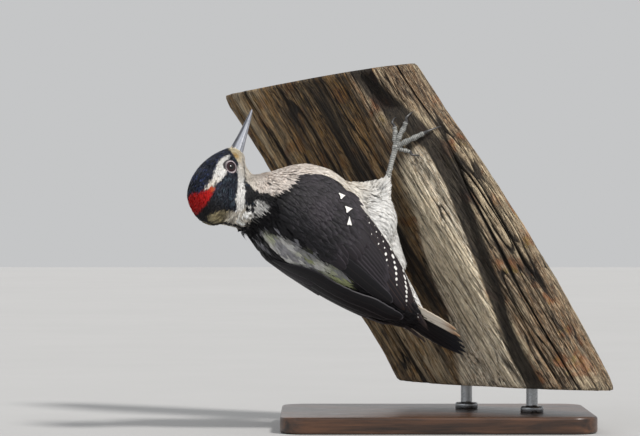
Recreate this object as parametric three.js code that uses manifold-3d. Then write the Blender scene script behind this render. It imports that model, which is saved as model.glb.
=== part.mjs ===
// A male hairy woodpecker at life size, clinging to a short length of dead trunk that leans over a display stand.
// Millimetres, +Z up, +X to the right and +Y away from someone who looks at the bird's right side.
// The origin is the centre of the underside of the stand's base.
import * as THREE from "three";
import { mergeVertices } from "three/addons/utils/BufferGeometryUtils.js";
import Module from "manifold-3d";

const wasm = await Module();
wasm.setup();

// ---------------------------------------------------------------- driving dimensions

const GAP = 0.3; // clearance between neighbouring solids
const FINENESS = 0.08; // how far facets may stray when a cut solid is thinned
const CUT_MARGIN = 1.35; // share of the clearance that a cut takes, as it narrows at sharp edges

// Pose of the bird. Its own frame is +X forward to the head, +Y to its left side and +Z to its back.
const BODY_CENTRE = new THREE.Vector3(-71, -47, 117);
const BODY_RISE = 40; // degrees from level up to the body's line
const BODY_ROLL = 46; // degrees that the back is turned towards the onlooker
const BODY_TURN = 8; // degrees that the head end comes towards the onlooker
const TRUNK_ANGLE = 28; // degrees between the body's line and the trunk's line

// The head's frame is +X along the bill, +Y to its left and +Z to its crown, with the eyes above the origin.
const HEAD_ORIGIN = new THREE.Vector3(68, -4, 11.5);
const HEAD_BOW = 75; // degrees that the bill drops from the body's line
const HEAD_TURN = 12; // degrees that the bill turns to the bird's right
const EYE = { along: -3, up: 4, out: 10.2, radius: 3.5 };
const BILL = { root: 8, tip: 46.4, halfWide: 5, upper: 5.2, lower: 3.9, chisel: 0.16, seam: -0.6 };

// Head from the nape to the root of the bill, as oval sections. `up` is the height of a section's middle.
const HEAD = [
  { along: -39.5, up: 2.5, wide: 3, deep: 3.5 }, // nape
  { along: -37, up: 3, wide: 8, deep: 8.5 },
  { along: -31.5, up: 4, wide: 12, deep: 13 },
  { along: -23, up: 4.9, wide: 14.2, deep: 15.3 },
  { along: -13, up: 5.1, wide: 14.6, deep: 15.3 }, // crown and cheeks
  { along: -4, up: 4.3, wide: 13.4, deep: 13.8 }, // eyes
  { along: 4, up: 3, wide: 11, deep: 11.1 },
  { along: 10, up: 1.6, wide: 8, deep: 8.2 }, // forehead and chin
  { along: 14.5, up: 0.5, wide: 5.4, deep: 5.5 }, // root of the bill
];

// Body from the tail coverts to the neck, to the tips of the feathers.
const BODY = [
  { along: -80, up: 1, wide: 8, deep: 3.5 }, // tail coverts
  { along: -64, up: 1.5, wide: 15, deep: 11.5 }, // rump
  { along: -45, up: 0.5, wide: 21.5, deep: 18.5 }, // vent
  { along: -25, up: -2, wide: 27, deep: 26 }, // flanks
  { along: -5, up: -4, wide: 30.5, deep: 31.5 }, // belly
  { along: 15, up: -4, wide: 32, deep: 34 }, // breast
  { along: 29, up: 0, wide: 30, deep: 29.5 }, // shoulders
  { along: 40, up: 5.5, wide: 25, deep: 23 }, // base of the neck
  { along: 48, up: 11.5, wide: 20.5, deep: 19.5 }, // neck
  { along: 54, up: 19, wide: 18.5, deep: 17.5 }, // nape
  { along: 60, up: 27, wide: 15, deep: 15 }, // inside the head
];
const SECTION_LEAN = 0.45; // share of the spine's slope that the sections lean by
const NECK_JOIN = { along: 47, up: 6, slope: 40 }; // where the neck meets the trunk of the body

// Folded wing, from the bend (share 0) to the tip (share 1) of its length.
const WING = {
  bend: 43,
  length: 128,
  outerEdge: -15, // degrees below the bird's side
  innerEdge: 85, // degrees up to the middle of the back
  foreInnerEdge: 58, // the same at the shoulder, where the scapulars cover the wing
  bendAngle: 12,
  tipAngle: 62,
  proud: 1.2, // how far the wing stands out of the body's outline
  thickFront: 5,
  thickTip: 1.5,
  rounding: 0.16, // share of the length over which the bend rounds off
  taper: 0.3, // share of the length over which the primaries run to a point
  leavesBody: [60, 86], // distances behind the body's middle over which it leaves the rump
  overTail: { up: 1.5, wide: 8, deep: 4.5 }, // the oval that its tip lies on
};
const COVERTS_SHARE = 0.4; // share of the wing's length that the coverts take

const TAIL = {
  root: -60,
  tip: -114,
  rootUp: 3,
  tipUp: -5,
  thick: 1.3,
  pairs: 5,
  halfVane: 4.3,
  spread: 11.5, // how far the outermost pair stands from the innermost at its tip
  innerOut: 1.6, // how far the innermost pair stands from the middle at its tip
  curl: 1.7, // how late along its length the tail bends down to the wood
  layer: 0.22, // how much higher each pair lies than the one outside it
  stagger: 3.9, // how much shorter each pair is than the one inside it
};

// Legs: heel in the bird's frame, foot in the trunk's frame (across to the bird's right, up the trunk).
const LEG = {
  hip: { along: -24, down: -8, out: 9, radius: 13 },
  knee: { along: -20, down: -25, out: 18, radius: 14.5 },
  shin: { along: -15, down: -39, out: 24, radius: 6.5 },
  heel: { along: -11.3, down: -47.8, out: 27, radius: 2.5 },
  tarsusRadius: 1.45,
  jointRadius: 2.1,
  footHeight: 5.2, // middle of the foot joint above the wood
};
const FEET = {
  right: { side: 1, across: 36.5, up: 125.4, heelShift: 0 },
  left: { side: -1, across: 34, up: 104, heelShift: -16 },
};
const TOES = {
  hallux: { angle: 152, length: 7, radius: 1.05 },
  inner: { angle: 19, length: 11, radius: 1.25 },
  middle: { angle: 48, length: 14, radius: 1.35 },
  outer: { angle: 98, length: 16.5, radius: 1.35 },
};
const CLAW = { length: 6.6, height: 2.6, radius: 0.95, bite: 0.9 };

// Trunk: its frame is +X across to the bird's right, +Y up its length and +Z out of the wood to the bird.
const TRUNK = {
  halfRight: 58,
  halfLeft: 92,
  waist: 13, // how much narrower the left side is beside the tail
  waistUp: 45,
  depth: 54, // from the face that carries the bird to the back
  squareness: 2.2,
  reach: [-70, 230], // the uncut log's ends, up and down from the tail's tip
  waistReach: 55,
  bottomZ: 26, // heights of the saw cuts at its foot and top
  topX: -90,
  topZ: 213,
  topSlope: 8, // degrees that the top cut falls towards the left
  furrow: 1.6,
  furrows: 11,
  swell: 0.05, // share by which the width swells and shrinks along the log
};

const BASE = { wide: 190, deep: 136, thick: 10, corner: 16, bevel: 1.5 };
const ROD = { radius: 3.5, collarRadius: 7, collarHeight: 4, collarEdge: 1.2, intoWood: 9, sides: 14 };
const ROD_PLACES = { front: [58, -21], back: [20, 17] };

// ---------------------------------------------------------------- finishes

const paint = (color, roughness, metalness = 0) =>
  new THREE.MeshStandardMaterial({ color, roughness, metalness });
const FINISH = {
  blackPlumage: paint(0x17161a, 0.62),
  crownPlumage: paint(0x14151c, 0.5),
  whitePlumage: paint(0xe3dccb, 0.85),
  horn: paint(0x5b6070, 0.35),
  eye: paint(0x1c0f0e, 0.08),
  scales: paint(0x6f7775, 0.55),
  claw: paint(0x3a3836, 0.35),
  wood: paint(0x7d6650, 0.9),
  standWood: paint(0x2b2119, 0.4),
  steel: paint(0x8f9194, 0.35, 0.9),
};

// ---------------------------------------------------------------- small tools

const rad = THREE.MathUtils.degToRad;
const { lerp, clamp, smoothstep } = THREE.MathUtils;
const vec = (x, y, z) => new THREE.Vector3(x, y, z);

// Moves every vertex of a geometry by a function of its place, and keeps the faces pointing outwards.
function shaped(geometry, move) {
  const bare = geometry.clone();
  bare.deleteAttribute("normal");
  bare.deleteAttribute("uv");
  const merged = mergeVertices(bare, 1e-4);
  const place = merged.attributes.position;
  for (let i = 0; i < place.count; i++) {
    const moved = move(vec().fromBufferAttribute(place, i));
    place.setXYZ(i, moved.x, moved.y, moved.z);
  }
  return volumeOf(merged) < 0 ? turnedInsideOut(merged) : merged;
}

function volumeOf(geometry) {
  const { index, attributes } = geometry;
  const corner = (i) => vec().fromBufferAttribute(attributes.position, index.getX(i));
  let sum = 0;
  for (let i = 0; i < index.count; i += 3) sum += corner(i).dot(corner(i + 1).cross(corner(i + 2)));
  return sum / 6;
}

function turnedInsideOut(geometry) {
  const { index } = geometry;
  for (let i = 0; i < index.count; i += 3) {
    const second = index.getX(i + 1);
    index.setX(i + 1, index.getX(i + 2));
    index.setX(i + 2, second);
  }
  return geometry;
}

function solid(geometry) {
  return new wasm.Manifold(
    new wasm.Mesh({
      numProp: 3,
      vertProperties: new Float32Array(geometry.attributes.position.array),
      triVerts: new Uint32Array(geometry.index.array),
    }),
  );
}

const moved = (shape, matrix) => shape.transform(matrix.elements);

// A solid with the clearance added all round it, to cut its neighbours with.
function grown(geometry) {
  const thick = geometry.clone();
  thick.computeVertexNormals();
  const { position, normal } = thick.attributes;
  const place = (i) => vec().fromBufferAttribute(position, i);
  for (let i = 0; i < position.count; i++) {
    const out = place(i).addScaledVector(vec().fromBufferAttribute(normal, i), CUT_MARGIN * GAP);
    position.setXYZ(i, out.x, out.y, out.z);
  }
  return solid(thick);
}

// The largest of the separate bodies that a cut can leave.
const mainBody = (shape) => shape.decompose().sort((a, b) => b.volume() - a.volume())[0];

function meshOf(name, shape, finish) {
  const { vertProperties, triVerts } = mainBody(shape).asOriginal().simplify(FINENESS).getMesh();
  const geometry = new THREE.BufferGeometry();
  geometry.setAttribute("position", new THREE.BufferAttribute(vertProperties, 3));
  geometry.setIndex(new THREE.BufferAttribute(triVerts, 1));
  geometry.computeVertexNormals();
  const mesh = new THREE.Mesh(geometry, finish);
  mesh.name = name;
  return mesh;
}

// A smooth run of values through evenly spaced stops, read at a share from 0 to 1.
function runOf(values) {
  const curve = new THREE.SplineCurve(values.map((y, i) => new THREE.Vector2(i, y)));
  return (share) => curve.getPoint(clamp(share, 0, 1)).y;
}

// A round bar with closed ends whose radius changes along a curve.
function barAlong(curve, radiusAt, sides, steps) {
  const frames = curve.computeFrenetFrames(steps, false);
  return shaped(new THREE.CylinderGeometry(1, 1, 1, sides, steps), (p) => {
    const step = Math.round((p.y + 0.5) * steps);
    const radius = radiusAt(step / steps);
    return curve
      .getPointAt(step / steps)
      .addScaledVector(frames.normals[step], p.x * radius)
      .addScaledVector(frames.binormals[step], p.z * radius);
  });
}

// ---------------------------------------------------------------- frames

const level = vec(-Math.cos(rad(BODY_RISE)), 0, Math.sin(rad(BODY_RISE)));
const aside = vec(Math.sin(rad(BODY_RISE)), 0, Math.cos(rad(BODY_RISE)));
const toOnlooker = vec(0, -1, 0);
const forward = level
  .clone()
  .multiplyScalar(Math.cos(rad(BODY_TURN)))
  .addScaledVector(toOnlooker, Math.sin(rad(BODY_TURN)));
const across = toOnlooker
  .clone()
  .multiplyScalar(Math.cos(rad(BODY_TURN)))
  .addScaledVector(level, -Math.sin(rad(BODY_TURN)));
const dorsal = across
  .clone()
  .multiplyScalar(Math.sin(rad(BODY_ROLL)))
  .addScaledVector(aside, -Math.cos(rad(BODY_ROLL)));
const leftward = dorsal.clone().cross(forward);

const birdFrame = new THREE.Matrix4().makeBasis(forward, leftward, dorsal).setPosition(BODY_CENTRE);

const tailContact = vec(TAIL.tip, 0, TAIL.tipUp - TAIL.thick);
const trunkInBird = new THREE.Matrix4()
  .makeBasis(
    vec(0, -1, 0),
    vec(Math.cos(rad(TRUNK_ANGLE)), 0, -Math.sin(rad(TRUNK_ANGLE))),
    vec(Math.sin(rad(TRUNK_ANGLE)), 0, Math.cos(rad(TRUNK_ANGLE))),
  )
  .setPosition(tailContact);
const trunkFrame = birdFrame.clone().multiply(trunkInBird);
const birdInTrunk = trunkInBird.clone().invert();

const headInBird = new THREE.Matrix4()
  .makeTranslation(HEAD_ORIGIN)
  .multiply(new THREE.Matrix4().makeRotationY(rad(HEAD_BOW)))
  .multiply(new THREE.Matrix4().makeRotationZ(-rad(HEAD_TURN)));

// ---------------------------------------------------------------- body

const runsOf = (stations) =>
  Object.fromEntries(["along", "up", "wide", "deep"].map((key) => [key, runOf(stations.map((s) => s[key]))]));

// A bar of oval sections, which lean by a share of the slope of the line through their middles.
function ovalBar(stations, leanShare, sides, steps) {
  const run = runsOf(stations);
  const step = 1e-3;
  return shaped(new THREE.CylinderGeometry(1, 1, 1, sides, steps), (p) => {
    const share = p.y + 0.5;
    const rise = run.up(share + step) - run.up(share - step);
    const lean = leanShare * Math.atan2(rise, run.along(share + step) - run.along(share - step));
    const height = p.x * run.deep(share);
    return vec(
      run.along(share) - Math.sin(lean) * height,
      p.z * run.wide(share),
      run.up(share) + Math.cos(lean) * height,
    );
  });
}

const body = runsOf(BODY);
const bodyShape = () => ovalBar(BODY, SECTION_LEAN, 22, 18);
const headShape = () => ovalBar(HEAD, 0, 20, 13);

// Share along BODY at which the spine passes a distance along the bird.
function shareAt(along) {
  let [low, high] = [0, 1];
  for (let i = 0; i < 24; i++) {
    const middle = (low + high) / 2;
    if (body.along(middle) < along) low = middle;
    else high = middle;
  }
  return low;
}

// ---------------------------------------------------------------- head

// One half of the bill: flat at the seam, arched away from it, narrowing straight to a chisel.
function billHalf(upwards, height, tip) {
  const seam = BILL.seam + (upwards * GAP) / 2;
  return shaped(new THREE.CylinderGeometry(1, 1, 1, 12, 5), (p) => {
    const share = p.y + 0.5;
    const taper = lerp(1, BILL.chisel, Math.pow(share, 0.9));
    const arch = p.x > 0 ? p.x * height * taper : p.x * 0.15;
    return vec(
      lerp(BILL.root, tip, share),
      p.z * BILL.halfWide * taper,
      seam + upwards * arch,
    );
  });
}
const upperBill = () => billHalf(1, BILL.upper, BILL.tip);
const lowerBill = () => billHalf(-1, BILL.lower, BILL.tip - 0.8);

function eyeShape(side) {
  return shaped(new THREE.SphereGeometry(EYE.radius, 12, 8), (p) =>
    vec(p.x + EYE.along, p.y + side * EYE.out, p.z + EYE.up),
  );
}

// ---------------------------------------------------------------- wings

// Shares of the wing's edges where it rounds off at the bend and runs to a point at the tip.
function openness(share) {
  const rounded = clamp(share / WING.rounding, 0, 1);
  const pointed = clamp((1 - share) / WING.taper, 0, 1);
  return Math.sqrt(rounded * (2 - rounded)) * Math.pow(pointed, 0.62);
}

function wingAngle(share, acrossShare) {
  const inner = lerp(WING.foreInnerEdge, WING.innerEdge, smoothstep(share, 0.1, 0.45));
  const middle = lerp(WING.bendAngle, WING.tipAngle, smoothstep(share, 0.1, 1));
  const open = Math.max(openness(share), 0.06);
  return rad(lerp(lerp(middle, WING.outerEdge, open), lerp(middle, inner, open), acrossShare));
}

// The wing lies as a curved plate on the body, and past the rump it keeps its own outline over the tail.
function wingShape(side, fromShare, toShare, proud = WING.proud) {
  return shaped(new THREE.BoxGeometry(1, 1, 1, 10, 7, 1), (p) => {
    const share = clamp(lerp(fromShare, toShare, p.x + 0.5), 0, 1);
    const angle = wingAngle(share, p.y + 0.5);
    const along = WING.bend - WING.length * share;
    const at = shareAt(Math.min(along, 40));
    const leaving = smoothstep(-along, ...WING.leavesBody);
    const wide = lerp(body.wide(at), WING.overTail.wide, leaving);
    const deep = lerp(body.deep(at), WING.overTail.deep, leaving);
    const edge = Math.sin(Math.PI * clamp(p.y + 0.5, 0.06, 0.94));
    const thick = lerp(WING.thickFront, WING.thickTip, smoothstep(share, 0.1, 0.8)) * (0.35 + 0.65 * edge);
    const out = p.z > 0 ? proud : WING.proud - thick;
    return vec(
      along,
      -side * Math.cos(angle) * (wide + out),
      lerp(body.up(at), WING.overTail.up, leaving) + Math.sin(angle) * (deep + out),
    );
  });
}

// ---------------------------------------------------------------- tail

const tailUp = (along) =>
  lerp(TAIL.rootUp, TAIL.tipUp, Math.pow(clamp((along - TAIL.root) / (TAIL.tip - TAIL.root), 0, 1), TAIL.curl));

// One tail feather: a stiff blade with a pointed tip, thickest along its shaft.
function tailFeather(pair, side) {
  const tip = TAIL.tip + TAIL.stagger * pair * (0.6 + 0.1 * pair);
  const outAtTip = side * (TAIL.innerOut + (TAIL.spread * pair) / (TAIL.pairs - 1));
  return shaped(new THREE.SphereGeometry(1, 6, 9), (p) => {
    const share = (1 - p.y) / 2;
    const along = lerp(TAIL.root + 6, tip, share);
    const vane = TAIL.halfVane * Math.pow(Math.max(1 - Math.pow(share, 5), 0), 0.7) * Math.min(1, 4 * share);
    const ring = Math.hypot(p.x, p.z) || 1;
    return vec(
      along,
      lerp(0.35 * outAtTip, outAtTip, share) + (p.x / ring) * vane * Math.sign(ring - 1e-9),
      tailUp(along) + (p.z / ring) * TAIL.thick * (ring > 1e-6 ? 1 : 0) + TAIL.layer * (TAIL.pairs - pair),
    );
  });
}

function tailShape() {
  let tail;
  for (let pair = 0; pair < TAIL.pairs; pair++)
    for (const side of [-1, 1]) {
      const feather = solid(tailFeather(pair, side));
      tail = tail ? tail.add(feather) : feather;
    }
  return tail;
}

// ---------------------------------------------------------------- trunk

function trunkHalf(across, up) {
  const waist = TRUNK.waist * Math.exp(-Math.pow((up - TRUNK.waistUp) / TRUNK.waistReach, 2));
  return across > 0 ? TRUNK.halfRight : TRUNK.halfLeft - waist;
}

// How far the trunk's face lies below its highest line, at a distance across it.
function faceDrop(across, up) {
  const share = Math.min(Math.abs(across) / trunkHalf(across, up), 1);
  return (TRUNK.depth / 2) * (1 - Math.pow(1 - Math.pow(share, TRUNK.squareness), 1 / TRUNK.squareness));
}

// A squarish log with furrows along the grain, which fade out where the feet and tail rest.
function trunkShape() {
  return shaped(new THREE.CylinderGeometry(1, 1, 1, 40, 9), (p) => {
    const angle = Math.atan2(p.z, p.x);
    const radius = Math.hypot(p.x, p.z);
    const power = 2 / TRUNK.squareness;
    const round = (x) => Math.sign(x) * Math.pow(Math.abs(x), power);
    const up = lerp(...TRUNK.reach, p.y + 0.5);
    const away = 1 - Math.pow(Math.max(Math.sin(angle), 0), 2);
    const ridge = Math.sin(TRUNK.furrows * angle + 0.9 * Math.sin(up / 34)) * TRUNK.furrow * away;
    const swell = 1 + TRUNK.swell * Math.sin(up / 46 + 0.7) * away;
    return vec(
      radius * (trunkHalf(p.x, up) * swell + ridge) * round(Math.cos(angle)),
      up,
      radius * (TRUNK.depth / 2 + ridge) * round(Math.sin(angle)) - TRUNK.depth / 2,
    );
  });
}

// ---------------------------------------------------------------- legs and feet

const heelInBird = (foot) =>
  vec(LEG.heel.along + foot.heelShift, -foot.side * LEG.heel.out, LEG.heel.down - 0.1 * foot.heelShift);
const footJoint = (foot) =>
  vec(foot.side * foot.across, foot.up, LEG.footHeight - faceDrop(foot.side * foot.across, foot.up));

// The feathered thigh and shin, from inside the flank to the heel.
function thighShape(foot) {
  const { hip, knee, shin, heel } = LEG;
  const place = (joint, swing) =>
    vec(joint.along + swing * foot.heelShift, -foot.side * joint.out, joint.down - 0.1 * swing * foot.heelShift);
  const line = new THREE.CatmullRomCurve3([place(hip, 0), place(knee, 0.3), place(shin, 0.8), place(heel, 1)]);
  const radiusAt = runOf([hip.radius, knee.radius, shin.radius, heel.radius]);
  return barAlong(line, radiusAt, 14, 7);
}

// The bare lower leg, in the trunk's frame, from the heel down to the foot.
function tarsusShape(foot) {
  const heel = heelInBird(foot).applyMatrix4(birdInTrunk);
  const joint = footJoint(foot);
  const clear = joint.clone().sub(heel).setLength(LEG.heel.radius);
  const line = new THREE.LineCurve3(heel.add(clear), joint);
  return barAlong(line, (share) => LEG.tarsusRadius * (1 + 0.25 * Math.pow(2 * share - 1, 2)), 9, 4);
}

// The knob from which the toes spread.
function footJointShape(foot) {
  const joint = footJoint(foot);
  return shaped(new THREE.SphereGeometry(LEG.jointRadius, 10, 7), (p) => p.add(joint));
}

const toeAngle = (foot, toe) => rad(toe.angle) * foot.side;

// Places along a toe: out from the foot, arched over its knuckle, flat on the wood at its end.
function toePoint(foot, toe, reach, lift) {
  const angle = toeAngle(foot, toe);
  const at = footJoint(foot);
  const x = at.x + Math.sin(angle) * reach;
  const y = at.y + Math.cos(angle) * reach;
  return vec(x, y, lift - faceDrop(x, y));
}

function toeShape(foot, toe) {
  const line = new THREE.CatmullRomCurve3([
    toePoint(foot, toe, 0.6, LEG.footHeight - 0.4),
    toePoint(foot, toe, 0.35 * toe.length + LEG.jointRadius, 4.3),
    toePoint(foot, toe, 0.72 * toe.length + LEG.jointRadius, 2.6),
    toePoint(foot, toe, toe.length + LEG.jointRadius, toe.radius + 1.1),
  ]);
  const knuckle = (share) => 1 + 0.14 * Math.cos(share * 6 * Math.PI) - 0.12 * share;
  return barAlong(line, (share) => toe.radius * knuckle(share), 7, 6);
}

// A strongly hooked claw whose point goes into the wood.
function clawShape(foot, toe) {
  const start = toe.length + LEG.jointRadius + 2 * GAP;
  const line = new THREE.CatmullRomCurve3([
    toePoint(foot, toe, start, toe.radius + 1),
    toePoint(foot, toe, start + 0.42 * CLAW.length, CLAW.height + 0.6),
    toePoint(foot, toe, start + 0.82 * CLAW.length, CLAW.height * 0.45),
    toePoint(foot, toe, start + 0.92 * CLAW.length, -CLAW.bite),
  ]);
  return barAlong(line, (share) => lerp(CLAW.radius, 0.25, Math.pow(share, 1.3)), 6, 5);
}

// ---------------------------------------------------------------- stand

function baseShape() {
  const { wide, deep, thick, corner, bevel } = BASE;
  const [x, y] = [wide / 2 - bevel, deep / 2 - bevel];
  const outline = new THREE.Shape();
  outline.moveTo(-x + corner, -y);
  outline.lineTo(x - corner, -y).absarc(x - corner, -y + corner, corner, -Math.PI / 2, 0);
  outline.lineTo(x, y - corner).absarc(x - corner, y - corner, corner, 0, Math.PI / 2);
  outline.lineTo(-x + corner, y).absarc(-x + corner, y - corner, corner, Math.PI / 2, Math.PI);
  outline.lineTo(-x, -y + corner).absarc(-x + corner, -y + corner, corner, Math.PI, 1.5 * Math.PI);
  const plate = new THREE.ExtrudeGeometry(outline, {
    depth: thick - 2 * bevel,
    bevelThickness: bevel,
    bevelSize: bevel,
    bevelSegments: 1,
    curveSegments: 5,
  });
  return shaped(plate, (p) => vec(p.x, p.y, p.z + bevel));
}

// A round rod with a collar at its foot, from the base up into the trunk.
function rodShape([x, y]) {
  const foot = BASE.thick + GAP;
  const top = TRUNK.bottomZ + ROD.intoWood;
  const profile = [
    [0, foot],
    [ROD.collarRadius, foot],
    [ROD.collarRadius, foot + ROD.collarHeight - ROD.collarEdge],
    [ROD.collarRadius - ROD.collarEdge, foot + ROD.collarHeight],
    [ROD.radius, foot + ROD.collarHeight],
    [ROD.radius, top],
    [0, top],
  ].map(([r, z]) => new THREE.Vector2(r, z));
  return shaped(new THREE.LatheGeometry(profile, ROD.sides), (p) => vec(p.x + x, p.z + y, p.y));
}

// ---------------------------------------------------------------- assembly

const bird = new THREE.Group();
bird.applyMatrix4(birdFrame);
const perch = new THREE.Group();
perch.applyMatrix4(trunkFrame);
const stand = new THREE.Group();

function addHead() {
  const fleshOfHead = solid(headShape())
    .subtract(grown(upperBill()))
    .subtract(grown(lowerBill()))
    .subtract(grown(eyeShape(1)))
    .subtract(grown(eyeShape(-1)));
  const head = new THREE.Group();
  head.applyMatrix4(headInBird);
  head.add(meshOf("head", fleshOfHead, FINISH.crownPlumage));
  head.add(meshOf("bill_upper", solid(upperBill()), FINISH.horn));
  head.add(meshOf("bill_lower", solid(lowerBill()), FINISH.horn));
  head.add(meshOf("eye_left", solid(eyeShape(1)), FINISH.eye));
  head.add(meshOf("eye_right", solid(eyeShape(-1)), FINISH.eye));
  bird.add(head);
}

function addBody(wings) {
  const slope = rad(NECK_JOIN.slope);
  const normal = [Math.cos(slope), 0, Math.sin(slope)];
  const offset = normal[0] * NECK_JOIN.along + normal[2] * NECK_JOIN.up;
  let whole = solid(bodyShape()).subtract(moved(grown(headShape()), headInBird));
  for (const wing of wings) whole = whole.subtract(wing);
  const neck = whole.trimByPlane(normal, offset + GAP / 2);
  const trunk = whole.trimByPlane(normal.map((n) => -n), -offset + GAP / 2);
  bird.add(meshOf("neck", neck, FINISH.whitePlumage));
  bird.add(meshOf("body", trunk, FINISH.blackPlumage));
}

function addWings() {
  const cutters = [];
  for (const [name, side] of [["right", 1], ["left", -1]]) {
    const split = GAP / WING.length / 2;
    const coverts = wingShape(side, 0, COVERTS_SHARE - split);
    const flight = wingShape(side, COVERTS_SHARE + split, 1);
    const clearAbove = wingShape(side, 0, 1, WING.proud + WING.thickFront);
    bird.add(meshOf("wing_" + name + "_coverts", solid(coverts), FINISH.blackPlumage));
    bird.add(meshOf("wing_" + name + "_flight", solid(flight), FINISH.blackPlumage));
    cutters.push(grown(coverts), grown(flight), grown(clearAbove));
  }
  return cutters;
}

function addTail(wings) {
  let tail = tailShape().subtract(grown(bodyShape()));
  for (const wing of wings) tail = tail.subtract(wing);
  bird.add(meshOf("tail", tail, FINISH.blackPlumage));
}

function addLegs(wings) {
  const bites = [];
  for (const [name, foot] of Object.entries(FEET)) {
    let thigh = solid(thighShape(foot)).subtract(grown(bodyShape()));
    for (const wing of wings) thigh = thigh.subtract(wing);
    bird.add(meshOf("thigh_" + name, thigh, FINISH.whitePlumage));
    const tarsus = solid(tarsusShape(foot)).subtract(grown(footJointShape(foot)));
    perch.add(meshOf("leg_" + name, tarsus, FINISH.scales));
    let spread = solid(footJointShape(foot));
    for (const [toeName, toe] of Object.entries(TOES)) {
      spread = spread.add(solid(toeShape(foot, toe)));
      perch.add(meshOf("claw_" + name + "_" + toeName, solid(clawShape(foot, toe)), FINISH.claw));
      bites.push(grown(clawShape(foot, toe)));
    }
    perch.add(meshOf("foot_" + name, spread, FINISH.scales));
  }
  return bites;
}

function addTrunk(bites) {
  const toTrunk = trunkFrame.clone().invert();
  let log = solid(trunkShape());
  for (const bite of bites) log = log.subtract(bite);
  for (const place of Object.values(ROD_PLACES))
    log = log.subtract(moved(grown(rodShape(place)), toTrunk));
  const up = vec(0, 0, 1).transformDirection(toTrunk);
  const cutPoint = vec(0, 0, TRUNK.bottomZ).applyMatrix4(toTrunk);
  const slope = rad(TRUNK.topSlope);
  const down = vec(Math.sin(slope), 0, -Math.cos(slope)).transformDirection(toTrunk);
  const topPoint = vec(TRUNK.topX, 0, TRUNK.topZ).applyMatrix4(toTrunk);
  log = log.trimByPlane(up.toArray(), cutPoint.dot(up)).trimByPlane(down.toArray(), topPoint.dot(down));
  perch.add(meshOf("perch_trunk", log, FINISH.wood));
}

function addStand() {
  stand.add(meshOf("stand_base", solid(baseShape()), FINISH.standWood));
  for (const [name, place] of Object.entries(ROD_PLACES))
    stand.add(meshOf("stand_rod_" + name, solid(rodShape(place)), FINISH.steel));
}

const wings = addWings();
addBody(wings);
addHead();
addTail(wings);
addTrunk(addLegs(wings));
addStand();

const woodpecker = new THREE.Group();
woodpecker.add(bird, perch, stand);
export default woodpecker;
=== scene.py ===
"""A male hairy woodpecker clinging to a short length of dead trunk, which leans on two rods over a display base.

Shapes are worked out in millimetres with numpy and put into meshes in metres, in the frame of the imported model.
The bird's own frame is +X forward to the head, +Y to its left side and +Z to its back. The head's frame is +X along
the bill, +Y to its left and +Z to its crown. The trunk's frame is +X to the bird's right, +Y up the trunk and +Z out
of the wood.
"""

import math
from types import SimpleNamespace

import bmesh
import bpy
import numpy as np
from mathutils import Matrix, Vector
from mathutils.bvhtree import BVHTree

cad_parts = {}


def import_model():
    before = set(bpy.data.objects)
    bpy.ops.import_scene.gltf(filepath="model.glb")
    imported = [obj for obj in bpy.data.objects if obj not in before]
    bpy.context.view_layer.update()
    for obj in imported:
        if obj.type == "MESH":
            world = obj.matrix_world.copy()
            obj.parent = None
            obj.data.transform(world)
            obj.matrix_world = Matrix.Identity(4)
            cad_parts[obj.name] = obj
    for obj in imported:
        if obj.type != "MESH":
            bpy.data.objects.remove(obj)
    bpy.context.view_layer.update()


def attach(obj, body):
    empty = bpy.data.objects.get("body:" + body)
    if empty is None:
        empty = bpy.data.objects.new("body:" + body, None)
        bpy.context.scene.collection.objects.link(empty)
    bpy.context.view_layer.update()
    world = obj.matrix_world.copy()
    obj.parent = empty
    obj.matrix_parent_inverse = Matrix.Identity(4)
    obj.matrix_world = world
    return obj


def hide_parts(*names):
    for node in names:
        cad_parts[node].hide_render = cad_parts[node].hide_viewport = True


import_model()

MM = 0.001
GAP = 0.3

# ---------------------------------------------------------------- small tools


def lerp(a, b, share):
    return a + (b - a) * share


def smooth(x, low, high):
    """0 below low, 1 above high, and the cubic 3t^2 - 2t^3 between them."""
    t = np.clip((x - low) / (high - low), 0, 1)
    return t * t * (3 - 2 * t)


def unit(v):
    return v / np.maximum(np.linalg.norm(v, axis=-1, keepdims=True), 1e-9)


def run_of(values):
    """A smooth run of values through evenly spaced stops: a cubic, with each stop's slope half the step between its
    neighbours."""
    v = np.asarray(values, float)
    last = len(v) - 1

    def read(share):
        p = np.clip(share, 0, 1) * last
        i = np.minimum(np.asarray(p).astype(int), last)
        w = (p - i)[..., None] if v.ndim > 1 else p - i
        a, b, c, d = v[np.maximum(i - 1, 0)], v[i], v[np.minimum(i + 1, last)], v[np.minimum(i + 2, last)]
        s, e = (c - a) / 2, (d - b) / 2
        return ((2 * (b - c) + s + e) * w + (3 * (c - b) - 2 * s - e)) * w * w + s * w + b

    return read


def soft_noise(points, seed):
    """Values from 0 to 1 on a lattice of whole numbers, blended by the cubic of smooth() between its corners."""
    table = np.random.RandomState(seed).rand(37, 41, 43)
    cell = np.floor(points).astype(int)
    t = points - cell
    t = t * t * (3 - 2 * t)
    size = np.array(table.shape)
    total = 0
    for corner in np.ndindex(2, 2, 2):
        weight = np.prod(np.where(corner, t, 1 - t), axis=-1)
        x, y, z = np.moveaxis((cell + corner) % size, -1, 0)
        total = total + weight * table[x, y, z]
    return total


def stack(*parts):
    """Numbers side by side as places, each number stretched to the shape of them all."""
    return np.stack(np.broadcast_arrays(*parts), -1)


def follow(x, rows):
    """The second number of the rows, read at the first."""
    return np.interp(x, *np.array(rows).T)


def full_turn(count):
    return np.linspace(0, 2 * np.pi, count, endpoint=False)


def linear(hexes):
    """A colour written in hexadecimal, as the linear values that a shader takes."""
    c = np.array([int(hexes[i : i + 2], 16) / 255 for i in (0, 2, 4)])
    return np.where(c <= 0.04045, c / 12.92, ((c + 0.055) / 1.055) ** 2.4)


# ---------------------------------------------------------------- frames

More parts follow.
